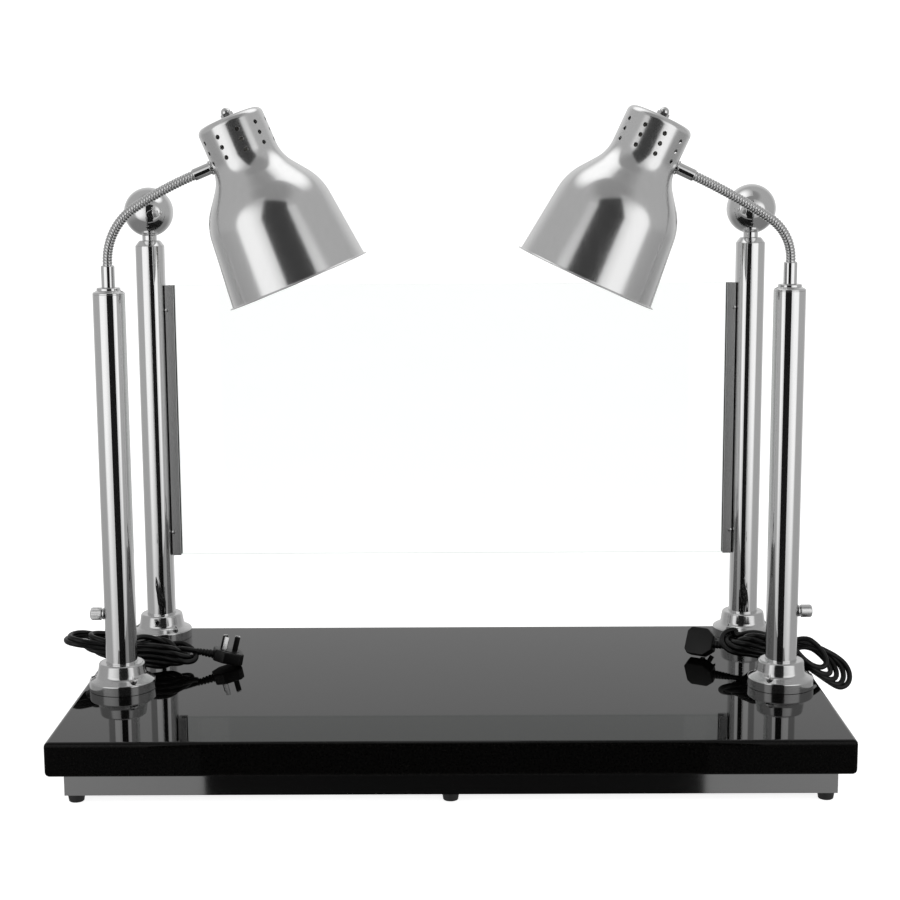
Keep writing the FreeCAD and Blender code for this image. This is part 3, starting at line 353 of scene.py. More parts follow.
def relight(mesh, spans, place):
    """Exact normals, taken from the outline, so that a mirror finish bends its reflections smoothly."""
    columns = [np.array(values, float) for values in zip(*spans)]
    starts, ends, first, last = columns[0] * MM, columns[1] * MM, columns[2], columns[3]
    inverse = np.array(place.inverted())
    turn = np.array(place.to_3x3())
    co = np.array([v.co for v in mesh.vertices], float).reshape(-1, 3) @ inverse[:3, :3].T + inverse[:3, 3]
    flat = np.array([p.normal for p in mesh.polygons], float) @ turn
    centre = np.array([p.center for p in mesh.polygons], float) @ inverse[:3, :3].T + inverse[:3, 3]

    def polar(points):
        reach = np.hypot(points[:, 0], points[:, 1])
        return np.stack([reach, points[:, 2]], 1), np.arctan2(points[:, 1], points[:, 0])

    middle, middle_angle = polar(centre)
    along = ends - starts
    length = (along ** 2).sum(1)
    part = np.clip((((middle[:, None] - starts[None]) * along[None]).sum(2)) / length[None], 0, 1)
    gap = np.linalg.norm(middle[:, None] - starts[None] - part[..., None] * along[None], axis=2)
    facing = first * 0.5 + last * 0.5
    radial = np.stack([flat[:, 0] * np.cos(middle_angle) + flat[:, 1] * np.sin(middle_angle), flat[:, 2]], 1)
    agree = radial @ facing.T
    best = np.argmin(gap + np.where(agree < 0.6, 1.0, 0.0), axis=1)
    normals = []
    where, angle = polar(co)
    for polygon in mesh.polygons:
        span = best[polygon.index]
        face = flat[polygon.index]
        for vertex in polygon.vertices:
            share = float(np.clip((where[vertex] - starts[span]) @ along[span] / length[span], 0, 1))
            n = first[span] * (1 - share) + last[span] * share
            n = n / (np.linalg.norm(n) or 1)
            theta = angle[vertex] if where[vertex][0] > 1e-6 else middle_angle[polygon.index]
            exact = np.array([n[0] * math.cos(theta), n[0] * math.sin(theta), n[1]])
            normals.append(turn @ (exact if exact @ face > 0.75 else face))
    for polygon in mesh.polygons:
        polygon.use_smooth = True
    mesh.normals_split_custom_set([tuple(n) for n in normals])


def turned_mesh(name, spans, place, segments=96):
    """Mesh of the spans turned about the place's own Z axis."""
    points = [spans[0][0]] + [s[1] for s in spans]
    closed = (points[0] - points[-1]).length < 1e-6
    if closed:
        points.pop()
    verts, rings = [], []
    for point in points:
        if point.x < 1e-6:
            rings.append([len(verts)])
            verts.append(place @ Vector((0, 0, point.y * MM)))
            continue
        rings.append(list(range(len(verts), len(verts) + segments)))
        for j in range(segments):
            angle = 2 * math.pi * j / segments
            local = Vector((point.x * math.cos(angle), point.x * math.sin(angle), point.y)) * MM
            verts.append(place @ local)
    faces = []
    count = len(points)
    for i in range(count if closed else count - 1):
        low, high = rings[i], rings[(i + 1) % count]
        if len(low) == 1 and len(high) == 1:
            continue
        for j in range(segments):
            k = (j + 1) % segments
            face = [low[j % len(low)], low[k % len(low)], high[k % len(high)], high[j % len(high)]]
            faces.append(tuple(dict.fromkeys(face)))
    return new_mesh(name, verts, faces)


def solid_mesh(corners, place, segments, steps=8, closed=False):
    """A turned mesh straight from its outline, for a cutter or for one of several joined parts."""
    return turned_mesh("part", outline(corners, closed, steps), place, segments)


def turned(name, corners, place, material, body, node, segments=96, holes=None, steps=8):
    """A turned piece from its outline, less the holes mesh, with exact normals, standing for one CAD node."""
    spans = outline(corners, closed=(corners[0][0] > 0 or corners[-1][0] > 0), steps=steps)
    mesh = turned_mesh(name, spans, place, segments)
    if holes is not None:
        mesh = pierced(mesh, holes)
    relight(mesh, spans, place)
    return piece(name, mesh, material, body, [node])


def pierced(mesh, cutter):
    """mesh with the cutter mesh taken away from it."""
    base, tool = new_object("uncut", mesh), new_object("cutter", cutter)
    cut = base.modifiers.new("holes", "BOOLEAN")
    cut.object = tool
    cut.solver = "EXACT"
    cut.operation = "DIFFERENCE"
    depsgraph = bpy.context.evaluated_depsgraph_get()
    depsgraph.update()
    result = bpy.data.meshes.new_from_object(base.evaluated_get(depsgraph))
    result.name = mesh.name
    bpy.data.objects.remove(base)
    bpy.data.objects.remove(tool)
    return result


def mesh_from(shape, name):
    mesh = bpy.data.meshes.new(name)
    shape.to_mesh(mesh)
    shape.free()
    return mesh


def joined(name, meshes):
    """Several meshes as one."""
    whole = bmesh.new()
    for mesh in meshes:
        whole.from_mesh(mesh)
    return mesh_from(whole, name)


def smooth_by_angle(mesh, degrees):
    for polygon in mesh.polygons:
        polygon.use_smooth = True
    mesh.set_sharp_from_angle(angle=math.radians(degrees))


def joined_piece(name, meshes, material, node, degrees=40):
    """Several meshes as one piece of the root body, smooth up to that angle, standing for one CAD node."""
    mesh = joined(name, meshes)
    smooth_by_angle(mesh, degrees)
    return piece(name, mesh, material, "root", [node])


def bevelled_box(name, low, high, radius, steps):
    """Mesh of a box between two corners, its edges rounded."""
    shape = bmesh.new()
    bmesh.ops.create_cube(shape, size=1)
    for vert in shape.verts:
        vert.co = Vector([(h + l) / 2 + c * (h - l) for l, h, c in zip(low, high, vert.co)])
    bmesh.ops.bevel(shape, geom=shape.edges[:], offset=radius, segments=steps, profile=0.5, affect="EDGES")
    return mesh_from(shape, name)


def rounded_block(name, low, high, radius, material, node, steps):
    """A block with rounded edges, its flat faces' normals kept exactly flat; sizes in metres."""
    mesh = bevelled_box(name, low, high, radius, steps)
    normals = []
    for polygon in mesh.polygons:
        polygon.use_smooth = True
        for vertex in polygon.vertices:
            co = mesh.vertices[vertex].co
            core = Vector([min(max(c, l + radius), h - radius) for c, l, h in zip(co, low, high)])
            normals.append((co - core).normalized())
    mesh.normals_split_custom_set([tuple(n) for n in normals])
    return piece(name, mesh, material, "root", [node])


def tube_mesh(name, line, radius_at, around):
    """Closed tube along a line in one upright plane; radius_at(step, angle) is its radius there."""
    verts = []
    for i, point in enumerate(line):
        ahead = (line[min(i + 1, len(line) - 1)] - line[max(i - 1, 0)]).normalized()
        side = ahead.cross(Vector((0, 1, 0))).normalized()
        across = side.cross(ahead).normalized()
        for j in range(around):
            angle = 2 * math.pi * j / around
            out = side * math.cos(angle) + across * math.sin(angle)
            verts.append(point + out * radius_at(i, angle))
    mesh = stacked_rings(name, verts, around)
    shape = bmesh.new()
    shape.from_mesh(mesh)
    bmesh.ops.recalc_face_normals(shape, faces=shape.faces)
    shape.to_mesh(mesh)
    shape.free()
    smooth_by_angle(mesh, 50)
    return mesh


# -------- places shared with the CAD source, in mm

SLAB_Z = 77.0
POSTS = {("left", "lamp"): (-403.3, -37.2), ("right", "lamp"): (403.3, -37.2),
         ("left", "guard"): (-395.0, 203.5), ("right", "guard"): (395.0, 203.5)}
LAMP_POST_TOP, GUARD_POST_TOP = 559.5, 606.5
POST_RADIUS, POST_BORE, POST_FOOT = 19.0, 17.5, 79.6
# Each base's first screw and its set screw, in degrees round the post.
SCREW_TURN = {("left", "lamp"): (-57, 155), ("right", "lamp"): (-122, 25), ("left", "guard"): (-50, -92),
              ("right", "guard"): (-130, 60)}
FERRULE_BOTTOM, FERRULE_TOP = 567.5, 593.5
SWITCH_Z, GLAND_Z = 170.5, 119.0
HEAD = {"left": (-177.7, 574.6, 22.5), "right": (162.1, 576.3, 25.1)}     # rim's x and z, and tilt in degrees
VENT_TURN = {"left": -5.5, "right": -7.0}
ARM_HEIGHT, CROWN = 160.5, 40.3


def at_mm(x, y, z):
    return Matrix.Translation((x * MM, y * MM, z * MM))


def turn_about(axis, degrees):
    return Matrix.Rotation(math.radians(degrees), 4, axis)


def post_at(side, kind, z):
    """Placement on a post's axis at height z."""
    return at_mm(*POSTS[side, kind], z)


def head_place(side):
    """The lamp head's own frame: the rim's centre, +Z up the shade, +X toward the post."""
    x, z, tilt = HEAD[side]
    place = at_mm(x, POSTS[side, "lamp"][1], z) @ turn_about("Y", SIDES[side] * tilt)
    return place @ turn_about("Z", 180) if side == "left" else place


# -------- supply cords

CORD_RADIUS = 3.4
STRAND_GAP = 7.1           # between neighbouring strands' middles
BUNCH_RADIUS = 11.3        # ring of strands at the band
LOOP_RADIUS = 21.0         # loops' turns at both ends of the bunch
TURNS = 5
LEADS = {
    "left": [(-403.3, 6.6, 119), (-403.3, 30, 119), (-396, 48, 119), (-381, 59, 114), (-364, 62, 104)],
    "right": [(403.3, 6.6, 119), (403.3, 30, 119), (396, 49, 119), (381, 60, 118), (364, 62, 112)],
}
TIE_X = {"left": -403.0, "right": 411.0}
# The bunch's middle line, as (x, y, z), from its outer end to its plug end.
BUNCH_LINE = {
    "left": [(-492, 43, 117), (-474, 43, 116), (-440, 46, 109), (-403, 47, 97), (-380, 47, 98),
             (-352, 48, 95), (-338, 48, 90), (-322, 48, 84)],
    "right": [(512, 38, 66), (490, 38, 72), (470, 40, 84), (450, 43, 95), (430, 44, 101), (411, 46, 101),
              (391, 48, 104), (374, 50, 108), (340, 52, 109)],
}
# How far each loop leans out of level at the outer end and at the plug end, in degrees.
LEAN = {"left": ((0,) * 5, (0,) * 5), "right": ((30, 42, 52, 58, 62), (-8,) * 5)}
# Each loop's outermost x at the outer end and at the plug end.
TIPS = {
    "left": ((-489, -484, -464, -458, -452), (-325, -331.5, -338, -344.5, -351)),
    "right": ((506, 498, 489, 481, 473), (344, 350.5, 357, 363.5, 370)),
}
# Each turn's level on the near side, and on the far side after its outer loop.
LEVELS = {"left": ((0, 1, -1, 2, -2), (0, 1, -1, 2, -2)), "right": ((-2, -1, 0, 1, 2), (1, 0, -1, -2, 2))}
SQUEEZE = {"left": (0.72, 1.0), "right": (1.0, 1.0)}        # the loops' height against their width, by end
PLUGS = {"left": (-289, 62, 15, 14, 0), "right": (320, 84, 148, 0, 116)}     # x, y, heading, tip, roll
PLUG_TAIL = (-40.5, 0, 6.5)
PLUG_THICK = 15.0
PLUG_PLAN = [(-19, 9, 3), (-19, -9, 3), (-8, -18, 5), (14, -18, 4), (19, -12, 3), (19, 12, 3), (14, 18, 4),
             (-8, 18, 5)]
PIN_WIDE, PIN_THICK = 6.35, 1.6
# Along, across, turn, height, and whether a black sleeve covers the root of the blade.
PIN_SPOTS = ((7.5, 0, 0, 20, True), (-6.9, -6.9, -30, 17.5, False), (-6.9, 6.9, 30, 17.5, True))


def smooth(t):
    t = min(max(t, 0.0), 1.0)
    return t * t * (3 - 2 * t)


def bunch_middle(side, x):
    """(y, z) of the bunch's middle line at x."""
    xs, ys, zs = zip(*sorted(BUNCH_LINE[side]))
    return float(np.interp(x, xs, ys)), float(np.interp(x, xs, zs))


def off_middle(side, x, radius, across, up, lean):
    """The point off the bunch's middle line by across and up, counted in radii and leaned by an angle."""
    y, z = bunch_middle(side, x)
    return Vector((x, y + radius * (across * math.cos(lean) - up * math.sin(lean)),
                   z + radius * (across * math.sin(lean) + up * math.cos(lean))))


def strand_point(side, x, end, number, level, far, centre_x, share=1.0):
    """A strand's place at x: its level counts neighbours up from the bunch's middle, on the near or far side.

    end is 0 for the outer loops and 1 for the plug end; share is 0 for a strand in the bunch's core.
    """
    grown = smooth((x - TIE_X[side]) / (centre_x - TIE_X[side]))
    radius = BUNCH_RADIUS + (LOOP_RADIUS - BUNCH_RADIUS) * grown
    core = 1 - (1 - share) * (1 - grown)
    angle = level * STRAND_GAP / radius
    across = math.cos(angle) * (1 if far else -1)
    up = math.sin(angle) * (1 - (1 - SQUEEZE[side][end]) * grown)
    return off_middle(side, x, radius * core, across, up, math.radians(LEAN[side][end][number]) * grown)


def loop_points(side, end, number, near_level, far_level, to_far, steps=9):
    """One turn at an end of the bunch, from the near strand to the far one or back."""
    outward = SIDES[side] * (1 if end == 0 else -1)
    tip = TIPS[side][end][number]
    centre_x = tip - outward * LOOP_RADIUS
    lean = math.radians(LEAN[side][end][number])
    near, far = (level * STRAND_GAP / LOOP_RADIUS for level in (near_level, far_level))
    points = []
    for step in range(steps + 1):
        phi = math.pi * step / steps
        x = centre_x + outward * LOOP_RADIUS * math.sin(phi)
        share = (1 + math.cos(phi)) / 2
        across = -math.cos(near) * share + math.cos(far) * (1 - share)
        up = (math.sin(near) * share + math.sin(far) * (1 - share)) * SQUEEZE[side][end]
        points.append(off_middle(side, x, LOOP_RADIUS, across, up, lean))
    return (points if to_far else points[::-1]), centre_x


def strand(side, number, level, far, from_end, from_x, to_x, share=1.0, steps=4):
    """Strand past the band, from the loop centred at from_x to the one centred at to_x."""
    tie = TIE_X[side]
    points = []
    for i in range(1, steps + 1):
        x = from_x + (tie - from_x) * i / steps
        points.append(strand_point(side, x, from_end, number, level, far, from_x, share))
    for i in range(1, steps):
        x = tie + (to_x - tie) * i / steps
        points.append(strand_point(side, x, 1 - from_end, number, level, far, to_x, share))
    return points


def plug_place(side):
    """Where the plug lies: turned as it fell, and lowered until it touches the slab."""
    x, y, heading, tip, roll = PLUGS[side]
    turn = turn_about("Z", heading) @ turn_about("Y", tip) @ turn_about("X", roll)
    corners = [(a, b, c) for a, b, _ in PLUG_PLAN for c in (0, PLUG_THICK)]
    for px, py, angle, tall, _ in PIN_SPOTS:
        wide, thin = (share(math.radians(angle)) * PIN_WIDE / 2 for share in (math.cos, math.sin))
        corners += [(px + k * wide, py + k * thin, PLUG_THICK + tall) for k in (1, -1)]
    lowest = min((turn @ Vector(c)).z for c in corners)
    return at_mm(x, y, SLAB_Z + 0.3 - lowest) @ turn


def cord_route(side):
    """The whole cord in mm: the lead from the gland, five turns through the band, and the tail."""
    route = [Vector(p) for p in LEADS[side]]
    near_levels, far_after = LEVELS[side]
    far_before = 2
    for turn in range(TURNS):
        inner, inner_x = loop_points(side, 1, turn, near_levels[turn], far_before, to_far=False)
        outer, outer_x = loop_points(side, 0, turn, near_levels[turn], far_after[turn], to_far=True)
        route += inner
        route += strand(side, turn, near_levels[turn], False, 1, inner_x, outer_x)
        route += outer
        if turn + 1 < TURNS:
            next_x = TIPS[side][1][turn + 1] + SIDES[side] * LOOP_RADIUS
            route += strand(side, turn, far_after[turn], True, 0, outer_x, next_x)
            far_before = far_after[turn]
            continue
        tail_x = TIE_X[side] - SIDES[side] * 22
        route += strand(side, turn, far_after[turn], True, 0, outer_x, tail_x, share=0.0)[:4]
        y, z = bunch_middle(side, tail_x)
        route.append(Vector((tail_x, y, z)))
    place = plug_place(side)
    end = place @ (Vector(PLUG_TAIL) * MM) / MM
    heading = (place.to_3x3() @ Vector((1, 0, 0))).normalized()
    route.append(end - heading * 22)
    route.append(end - heading * 8)
    route.append(end + heading * 4)
    return route


def make_cord(side):
    data = bpy.data.curves.new(side + "_supply_cord", "CURVE")
    data.dimensions = "3D"
    data.bevel_depth = CORD_RADIUS * MM
    data.bevel_resolution = 5
    data.resolution_u = 4
    data.use_fill_caps = True
    route = cord_route(side)
    spline = data.splines.new("NURBS")
    spline.points.add(len(route) - 1)
    for point, spot in zip(spline.points, route):
        point.co = (*(spot * MM), 1)
    spline.order_u = 3
    spline.use_endpoint_u = True
    nodes = [side + "_cord_lead", side + "_cord_hank"]
    return piece(side + "_supply_cord", data, "black_cord", "root", nodes), route


def ribbed_tail():
    """Outline of a plug's flexible tail, narrowing in ribs; height runs from the plug to the cord."""
    corners = [(0, -2), (5.6, -2)]
    for rib in range(5):
        height = 2 + rib * 4.2
        radius = 5.6 - 0.28 * rib
        corners += [(radius, height, 0.5), (radius - 1.1, height + 0.5, 0.3),
                    (radius - 1.1, height + 1.5, 0.3), (radius - 0.25, height + 2.0, 0.5)]
    return corners + [(4.3, 22.6, 0.8), (0, 22.6)]


def moulded_block(plan, height):
    """Upright block over a rounded plan, drawn in toward its top, with rounded rims; in millimetres."""
    edge, draft, steps = 1.8, 0.5, 4
    turns = [math.pi / 2 * i / steps for i in range(steps + 1)]
    rims = [(edge * (1 - math.sin(a)), edge * (1 - math.cos(a))) for a in turns]
    rims += [(draft + edge * (1 - math.cos(a)), height - edge * (1 - math.sin(a))) for a in turns]
    spans = outline(plan, closed=True, steps=5)
    verts = []
    for inset, level in rims:
        for start, _, normal, _ in spans:
            spot = start - normal.normalized() * inset
            verts.append(Vector((spot.x, spot.y, level)) * MM)
    return stacked_rings("moulded_block", verts, len(spans))


def make_plug(side):
    """Moulded plug: rounded body with a raised back, ribbed tail, and three flat blades, two sleeved."""
    place = plug_place(side)
    tail = solid_mesh(ribbed_tail(), at_mm(-18, 0, 6.5) @ turn_about("Y", -90), 40, steps=3)
    boss = solid_mesh([(0, 14), (12.5, 14), (12.5, 15.6, 0.5), (0, 15.6)], at_mm(1, 0, 0), 48)
    mesh = joined(side + "_moulded_plug", [moulded_block(PLUG_PLAN, PLUG_THICK), tail, boss])
    mesh.transform(place)
    smooth_by_angle(mesh, 32)
    plug = piece(side + "_moulded_plug", mesh, "black_plastic", "root", [side + "_plug"])
    blades, sleeves = [], []
    for x, y, angle, tall, sleeved in PIN_SPOTS:
        spot = place @ at_mm(x, y, PLUG_THICK) @ turn_about("Z", angle)
        blades.append(blade_mesh(PIN_WIDE, PIN_THICK, -3, tall, 0.45, spot))
        if sleeved:
            sleeves.append(blade_mesh(PIN_WIDE + 0.5, PIN_THICK + 1.1, -1, tall * 0.92, 0.6, spot))
    pins = joined_piece(side + "_plug_blades", blades, "pin_metal", "plug_pins")
    cover = joined_piece(side + "_plug_sleeves", sleeves, "black_plastic", "plug_pins")
    return plug, pins, cover


def blade_mesh(wide, thick, low, high, edge, place):
    """One flat blade standing on the plug's face, with eased edges; in millimetres."""
    corners = Vector((-wide / 2, -thick / 2, low)) * MM, Vector((wide / 2, thick / 2, high)) * MM
    mesh = bevelled_box("blade", *corners, edge * MM, 3)
    mesh.transform(place)
    return mesh


def make_gland(side):
    """Rubber strain relief through the back of the post, ribbed along its taper."""
    corners = [(3.2, 0), (5, 0), (5, 3.9), (7.5, 3.9, 0.4), (7.5, 6.5, 0.6), (6.5, 8.4, 0.8)]
    for rib in range(4):
        height = 11 + 4 * rib
        radius = 6.4 - 0.36 * rib
        corners += [(radius, height, 0.3), (radius - 0.8, height + 0.5, 0.3),
                    (radius - 0.8, height + 1.4, 0.3), (radius - 0.15, height + 1.9, 0.3)]
    corners += [(4.6, 28, 0.7), (3.2, 28)]
    place = post_at(side, "lamp", GLAND_Z) @ at_mm(0, POST_RADIUS - 3.2, 0) @ turn_about("X", -90)
    turned(side + "_strain_relief", corners, place, "black_rubber", "root", side + "_cord_gland", 48, steps=3)


def make_ties():
    """Bands round the bunches."""
    inner, outer = BUNCH_RADIUS + CORD_RADIUS + 0.1, BUNCH_RADIUS + CORD_RADIUS + 1.3
    corners = [(inner, -2.5), (outer, -2.5, 0.4), (outer, 2.5, 0.4), (inner, 2.5)]
    rings = []
    for side in SIDES:
        place = at_mm(TIE_X[side], *bunch_middle(side, TIE_X[side])) @ turn_about("Y", 90)
        rings.append(solid_mesh(corners, place, 64, closed=True))
    joined_piece("cord_bands", rings, "black_tie", "cord_ties")


def make_cords():
    for side in SIDES:
        cord, route = make_cord(side)
        pieces = make_plug(side)


# -------- slab, underframe and feet

SLAB = ((-0.4525, -0.25, 0.037), (0.4525, 0.25, 0.077))        # opposite corners, in metres
SLAB_EDGE = 0.0055
FOOT_X, FOOT_Y = (-423.5, 0, 423.5), (-220, 220)


def kept_node(name, material, edge=0.0):
    """A CAD piece that is already right: given its material and, where asked, softened edges."""
    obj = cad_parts[name]
    obj.data.materials.clear()
    obj.data.materials.append(MATERIALS[material])
    if edge:
        soften = obj.modifiers.new("soft edges", "BEVEL")
        soften.width = edge * MM
        soften.segments = 2
        soften.limit_method = "ANGLE"
        soften.angle_limit = math.radians(40)
        soften.harden_normals = True
    return obj


def make_table():
    rounded_block("slab", *SLAB, SLAB_EDGE, "polished_granite", "granite_slab", steps=5)
    for name in ("front_rail", "rear_rail", "left_rail", "right_rail", "cross_bars"):
        kept_node("frame_" + name, "frame_steel")
    kept_node("foot_screws", "zinc_screws")
    corners = [(0, 5), (4.5, 5), (4.5, 0), (8.5, 0, 1.4), (9.4, 6.0, 1.0), (10, 7.2, 0.6), (10, 10), (0, 10)]
    feet = [solid_mesh(corners, at_mm(x, y, 0), 48) for x in FOOT_X for y in FOOT_Y]
    joined_piece("turned_feet", feet, "black_rubber", "rubber_feet")


# -------- posts

SCREW_REACH = 34.5        # from the post's axis to a base screw
CAP_SINK = 15             # how far a cap reaches down into its tube


def screw_cutters(place, key):
    """Countersunk screw holes and the set screw's hole of one base, ready to cut with."""
    first_screw, set_screw = SCREW_TURN[key]
    slope = (17.5 - 12) / (40 - 30)
    mouth = 12 + (40 - SCREW_REACH) * slope
    corners = [(0, -8), (2.3, -8), (2.3, -2.4), (4.1, -0.6), (4.1, 0.1), (6.0, 1.9), (6.0, 6), (0, 6)]
    tools = []
    for number in range(3):
        spot = place @ turn_about("Z", first_screw + 120 * number) @ at_mm(SCREW_REACH, 0, mouth)
        tools.append(solid_mesh(corners, spot, 32))
    spot = place @ turn_about("Z", set_screw) @ at_mm(17, 0, 26) @ turn_about("Y", 90)
    tools.append(solid_mesh([(0, 3), (2.55, 3), (2.55, 14), (0, 14)], spot, 32))
    return joined("tools", tools)


def make_base(side, kind):
    place = post_at(side, kind, SLAB_Z)
    corners = [(19.1, 2.5), (15, 2.5), (15, 0), (40, 0, 0.5), (40, 12, 2.4), (30, 17.5, 7), (27.5, 33.5, 3),
               (19.1, 33.5, 0.4)]
    turned(f"{side}_{kind}_post_base", corners, place, "cast_chrome", "root", f"{side}_{kind}_base", 128,
           holes=screw_cutters(place, (side, kind)))


def make_tube(side, kind, top):
    corners = [(POST_BORE, POST_FOOT), (POST_RADIUS, POST_FOOT), (POST_RADIUS, top, 0.4), (POST_BORE, top)]
    turned(f"{side}_{kind}_tube", corners, post_at(side, kind, 0), "chrome_tube", "root",
           f"{side}_{kind}_post", 128)


def make_lamp_cap(side):
    place = post_at(side, "lamp", LAMP_POST_TOP - CAP_SINK)
    corners = [(4.1, 0), (17.4, 0), (17.4, 15), (19, 15, 0.3), (19, 17.2, 2.4), (14, 19.6, 0.8),
               (14, 23, 1.4), (4.1, 23)]
    turned(side + "_stepped_cap", corners, place, "chrome_tube", "root", side + "_lamp_post_cap", 128)


def make_guard_cap(side):
    place = post_at(side, "guard", GUARD_POST_TOP - CAP_SINK)
    corners = [(0, 0), (17.4, 0), (17.4, 15), (19, 15, 0.3), (13.5, 22, 2.2), (9.5, 22, 0.6), (9.5, 28.5),
               (4, 28.5), (4, 40), (0, 40)]
    turned(side + "_bell_cap", corners, place, "chrome_tube", "root", side + "_guard_post_cap", 128)


def make_ball(side):
    """Ball with a flat where it stands on its stem."""
    radius, stem, steps = 32.0, 9.5, 64
    low = math.asin(-math.sqrt(radius ** 2 - stem ** 2) / radius)
    base = radius * math.sin(low)
    down = Vector((0, -1))
    spans = [(Vector((0, base)), Vector((stem, base)), down, down)]
    for i in range(steps):
        a, b = (low + (math.pi / 2 - low) * (i + k) / steps for k in (0, 1))
        first, last = Vector((math.cos(a), math.sin(a))), Vector((math.cos(b), math.sin(b)))
        spans.append((first * radius, last * radius, first, last))
    spans[-1] = (spans[-1][0], Vector((0, radius)), spans[-1][2], Vector((0, 1)))
    place = post_at(side, "guard", GUARD_POST_TOP + 13.5 - base)
    mesh = turned_mesh(side + "_ball", spans, place, 128)
    relight(mesh, spans, place)
    piece(side + "_ball", mesh, "chrome_ball", "root", [side + "_ball_finial"])


def make_posts():
    for side in SIDES:
        for kind, top in (("lamp", LAMP_POST_TOP), ("guard", GUARD_POST_TOP)):
            make_base(side, kind)
            make_tube(side, kind, top)
        make_lamp_cap(side)
        make_guard_cap(side)
        make_ball(side)
    # flange screws and set screws get near-black metal: painted shade for the shadowed recesses round them
    kept_node("flange_screws", "painted_shade_screws")
    kept_node("flange_set_screws", "painted_shade_screws")


# -------- glass guard

PANE = ((-0.37135, 0.2005, 0.1915), (0.37135, 0.2065, 0.5545))        # opposite corners, in metres
PANE_EDGE = 0.0008
CHANNEL_SCREW = (373.95, 195.5, (223.5, 522.5))        # x to either side, y, and both heights


def make_guard():
    rounded_block("pane", *PANE, PANE_EDGE, "clear_glass", "glass_pane", steps=3)
    kept_node("glass_gaskets", "gasket_rubber")
    corners = [(0, -0.5), (2.6, -0.5), (2.6, 0.5), (2.4, 1.1, 0.8), (0.8, 1.6), (0.8, 0.9), (0, 0.9)]
    x, y, heights = CHANNEL_SCREW
    heads = []
    for side, sign in SIDES.items():
        kept_node(side + "_glass_channel", "channel_steel", 0.5)
        for z in heights:
            heads.append(solid_mesh(corners, at_mm(sign * x, y, z) @ turn_about("X", 90), 32, steps=4))
    joined_piece("channel_screw_heads", heads, "zinc_screws", "channel_screws", 35)


# -------- lamps

FLUTES, FLUTE_DEPTH = 20, 0.55        # of the left knob


def neck_curve(side):
    """The gooseneck's middle line, as in the CAD source: (point of length s, whole length), in mm."""
    sign = SIDES[side]
    tilt = math.radians(HEAD[side][2])
    end = head_place(side) @ Vector(((CROWN + 24) * MM, 0, ARM_HEIGHT * MM)) / MM
    start = Vector((*POSTS[side, "lamp"], FERRULE_TOP))
    rise, middle = 4.0, math.radians(33)
    across, up = abs(end.x - start.x), end.z - start.z - rise
    a1, b1 = 1 - math.sin(middle), math.cos(middle)
    a2, b2 = math.sin(middle) - math.sin(tilt), math.cos(tilt) - math.cos(middle)
    scale = a1 * b2 - a2 * b1
    tight, gentle = (across * b2 - a2 * up) / scale, (a1 * up - b1 * across) / scale
    tight_length = tight * (math.pi / 2 - middle)

    def point(s):
        if s < rise:
            flat, tall = 0.0, s
        elif s < rise + tight_length:
            heading = math.pi / 2 - (s - rise) / tight
            flat, tall = tight * (1 - math.sin(heading)), rise + tight * math.cos(heading)
        else:
            heading = middle - (s - rise - tight_length) / gentle
            flat = a1 * tight + gentle * (math.sin(middle) - math.sin(heading))
            tall = rise + b1 * tight + gentle * (math.cos(heading) - math.cos(middle))
        return start + Vector((-sign * flat, 0, tall))

    return point, rise + tight_length + gentle * (middle - tilt)


def make_neck(side):
    """Two lengths of wound steel hose that meet at the neck's middle."""
    point, total = neck_curve(side)
    pitch, radius, groove, spacing = 3.5, 5.85, 0.95, 0.35
    for half, first, last, bodies in (("lower", 0.0, total / 2, ("arm", "forearm")),
                                      ("upper", total / 2, total + 0.3, ("forearm", "head"))):
        count = int((last - first) / spacing)
        stations = [first + (last - first) * i / count for i in range(count + 1)]

        def radius_at(i, angle):
            wave = abs(math.sin(math.pi * stations[i] / pitch - angle / 2))
            return (radius - groove * (1 - wave) ** 1.6) * MM

        mesh = tube_mesh(f"{side}_{half}_hose", [point(s) * MM for s in stations], radius_at, 28)
        hose = piece(f"{side}_{half}_hose", mesh, "neck_steel", None, [f"{side}_neck_{half}"])
        tuple(point(first) * MM)
        tuple(point(min(last, total)) * MM)
        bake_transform(hose)


def make_ferrules(side):
    corners = [(3.6, -10), (4.05, -10), (4.05, 0), (8, 0, 0.5), (8, 26, 1.5), (5.2, 26, 0.3), (5.2, 24),
               (3.6, 24)]
    turned(side + "_post_ferrule", corners, post_at(side, "lamp", FERRULE_BOTTOM + 0.05), "chrome_tube",
           side + "_arm", side + "_lower_ferrule")
    corners = [(3.6, -9), (5, -9), (5, 0), (8.6, 0, 0.4), (8.6, 2, 0.7), (7.0, 2.3, 0.3), (7.0, 23.3, 1.3),
               (5.2, 23.3, 0.3), (5.2, 21), (3.6, 21)]
    place = head_place(side) @ at_mm(CROWN + 0.65, 0, ARM_HEIGHT) @ turn_about("Y", 90)
    turned(side + "_head_ferrule", corners, place, "chrome_tube", side + "_head", side + "_upper_ferrule")


def vent_cutters(side, place):
    """Three rows of ten holes through the crown, each a little wider at its mouth."""
    start = 30
    wall = CROWN - start
    corners = [(0, 0), (2.5, 0), (2.5, wall - 0.35), (3.0, wall + 0.15), (3.0, 16), (0, 16)]
    tools = []
    for column in range(10):
        around = place @ turn_about("Z", 36 * column + VENT_TURN[side])
        for row in range(3):
            spot = around @ at_mm(start, 0, 162.3 + 12.5 * row) @ turn_about("Y", 90)
            tools.append(solid_mesh(corners, spot, 24))
    return joined("tools", tools)


